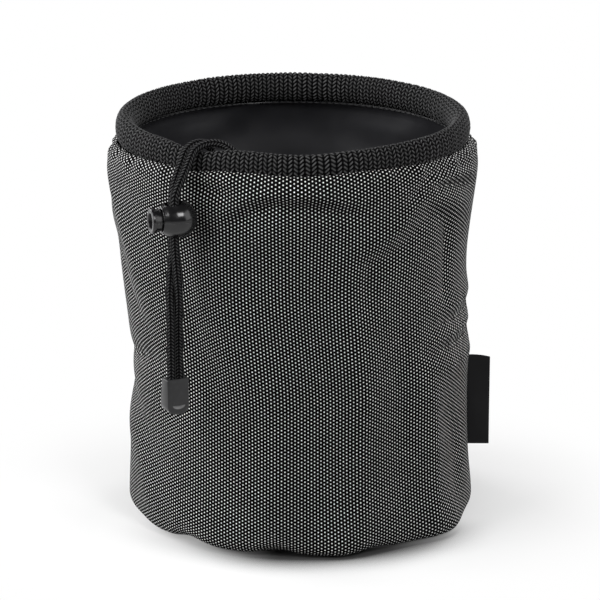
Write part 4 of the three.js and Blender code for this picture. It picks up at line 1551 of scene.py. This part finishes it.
def contact_shade(tree):
    """A shadow painted on the floor close to the bag, from ambient occlusion: most in front of it, and
    least at its left.
    """
    reach = {"Distance": CONTACT_REACH}
    shelter = put(tree, "ShaderNodeAmbientOcclusion", reach, samples=CONTACT_SAMPLES)["AO"]
    aside, ahead, _ = put(tree, "ShaderNodeSeparateXYZ", {"Vector": object_place(tree)})
    weight = maths(tree, "MULTIPLY", ramp(tree, ahead, *CONTACT_AHEAD), ramp(tree, aside, *CONTACT_ASIDE))
    return maths(tree, "MULTIPLY", ramp(tree, shelter, *CONTACT_RANGE), weight)


def floor_finish():
    finish = bare_finish("plain_white_floor")
    tree = finish.node_tree
    # The painted shadow darkens both the floor's colour and the white that the camera sees
    clear_of_painted_shadow = maths(tree, "SUBTRACT", 1.0, contact_shade(tree))
    path = put(tree, "ShaderNodeLightPath")
    mirrored = maths(tree, "MAXIMUM", path["Is Glossy Ray"], path["Is Transmission Ray"])
    seen = maths(tree, "MAXIMUM", path["Is Camera Ray"], mirrored)
    from_bag = put(tree, "ShaderNodeVectorMath", {0: object_place(tree)}, operation="LENGTH")["Value"]
    share = maths(tree, "MULTIPLY", seen, ramp(tree, from_bag, *FLOOR_FADE, FLOOR_WHITE, 1.0))
    colours = {"Factor": seen, 6: FLOOR_BOUNCE, 7: tint(tree, clear_of_painted_shadow, *FLOOR_PAINTED_SHADOW_AND_WHITE)}
    set_shader(finish, {
        "Base Color": put(tree, "ShaderNodeMix", colours, data_type="RGBA")[2],
        "Roughness": 0.9,
        "Specular IOR Level": 0.1,
    })
    shaded = tree.nodes["Principled BSDF"].outputs[0]
    white = put(tree, "ShaderNodeEmission", {"Strength": clear_of_painted_shadow})[0]
    mixed = put(tree, "ShaderNodeMixShader", {0: share, 1: shaded, 2: white})[0]
    tree.links.new(mixed, tree.nodes["Material Output"].inputs["Surface"])
    return finish


def studio_floor():
    signs = [(-1, -1), (1, -1), (1, 1), (-1, 1)]
    corners = [(x * FLOOR_SIZE, y * FLOOR_SIZE, FLOOR_HEIGHT) for x, y in signs]
    floor = make_piece("studio_floor", corners, [[0, 1, 2, 3]])
    floor.data.materials.append(floor_finish())
    return floor


print(studio_floor().name, "is", 2 * FLOOR_SIZE, "m wide")

# %% Lights
WORLD_LEVEL = 0.09
BAG_MIDDLE = (0, 0, 0.09)
BAG_UPPER = (0, 0, 0.12)
# For each light: its place, its aim, its width and height, and its power in watts
LIGHTS = {
    "left_softbox": ((-1.42, -0.48, 0.85), BAG_MIDDLE, 1.7, 1.3, 38.0),
    "right_softbox": ((1.45, -0.39, 0.85), BAG_MIDDLE, 1.7, 1.3, 14.0),
    "front_softbox": ((0.7, -1.3, 1.4), BAG_UPPER, 0.6, 0.6, 16.0),
    "left_edge_softbox": ((-1.15, 0.95, 0.75), BAG_MIDDLE, 0.7, 0.9, 12.0),
    "right_edge_softbox": ((0.95, 1.35, 0.75), BAG_MIDDLE, 0.7, 0.9, 10.0),
}


def studio_world():
    world = bpy.data.worlds.new("pale_surroundings")
    world.use_nodes = True
    background = world.node_tree.nodes["Background"]
    background.inputs["Strength"].default_value = WORLD_LEVEL
    background.inputs["Color"].default_value = (1, 1, 1, 1)
    bpy.context.scene.world = world


def soft_light(name, place, aim, width, height, watts):
    data = bpy.data.lights.new(name, "AREA")
    data.shape = "RECTANGLE"
    data.size = width
    data.size_y = height
    data.energy = watts
    point_at(add_object(name, data), place, aim)


studio_world()
for name, values in LIGHTS.items():
    soft_light(name, *values)
bpy.context.scene.view_settings.view_transform = "Standard"
print("lights:", ", ".join(LIGHTS))
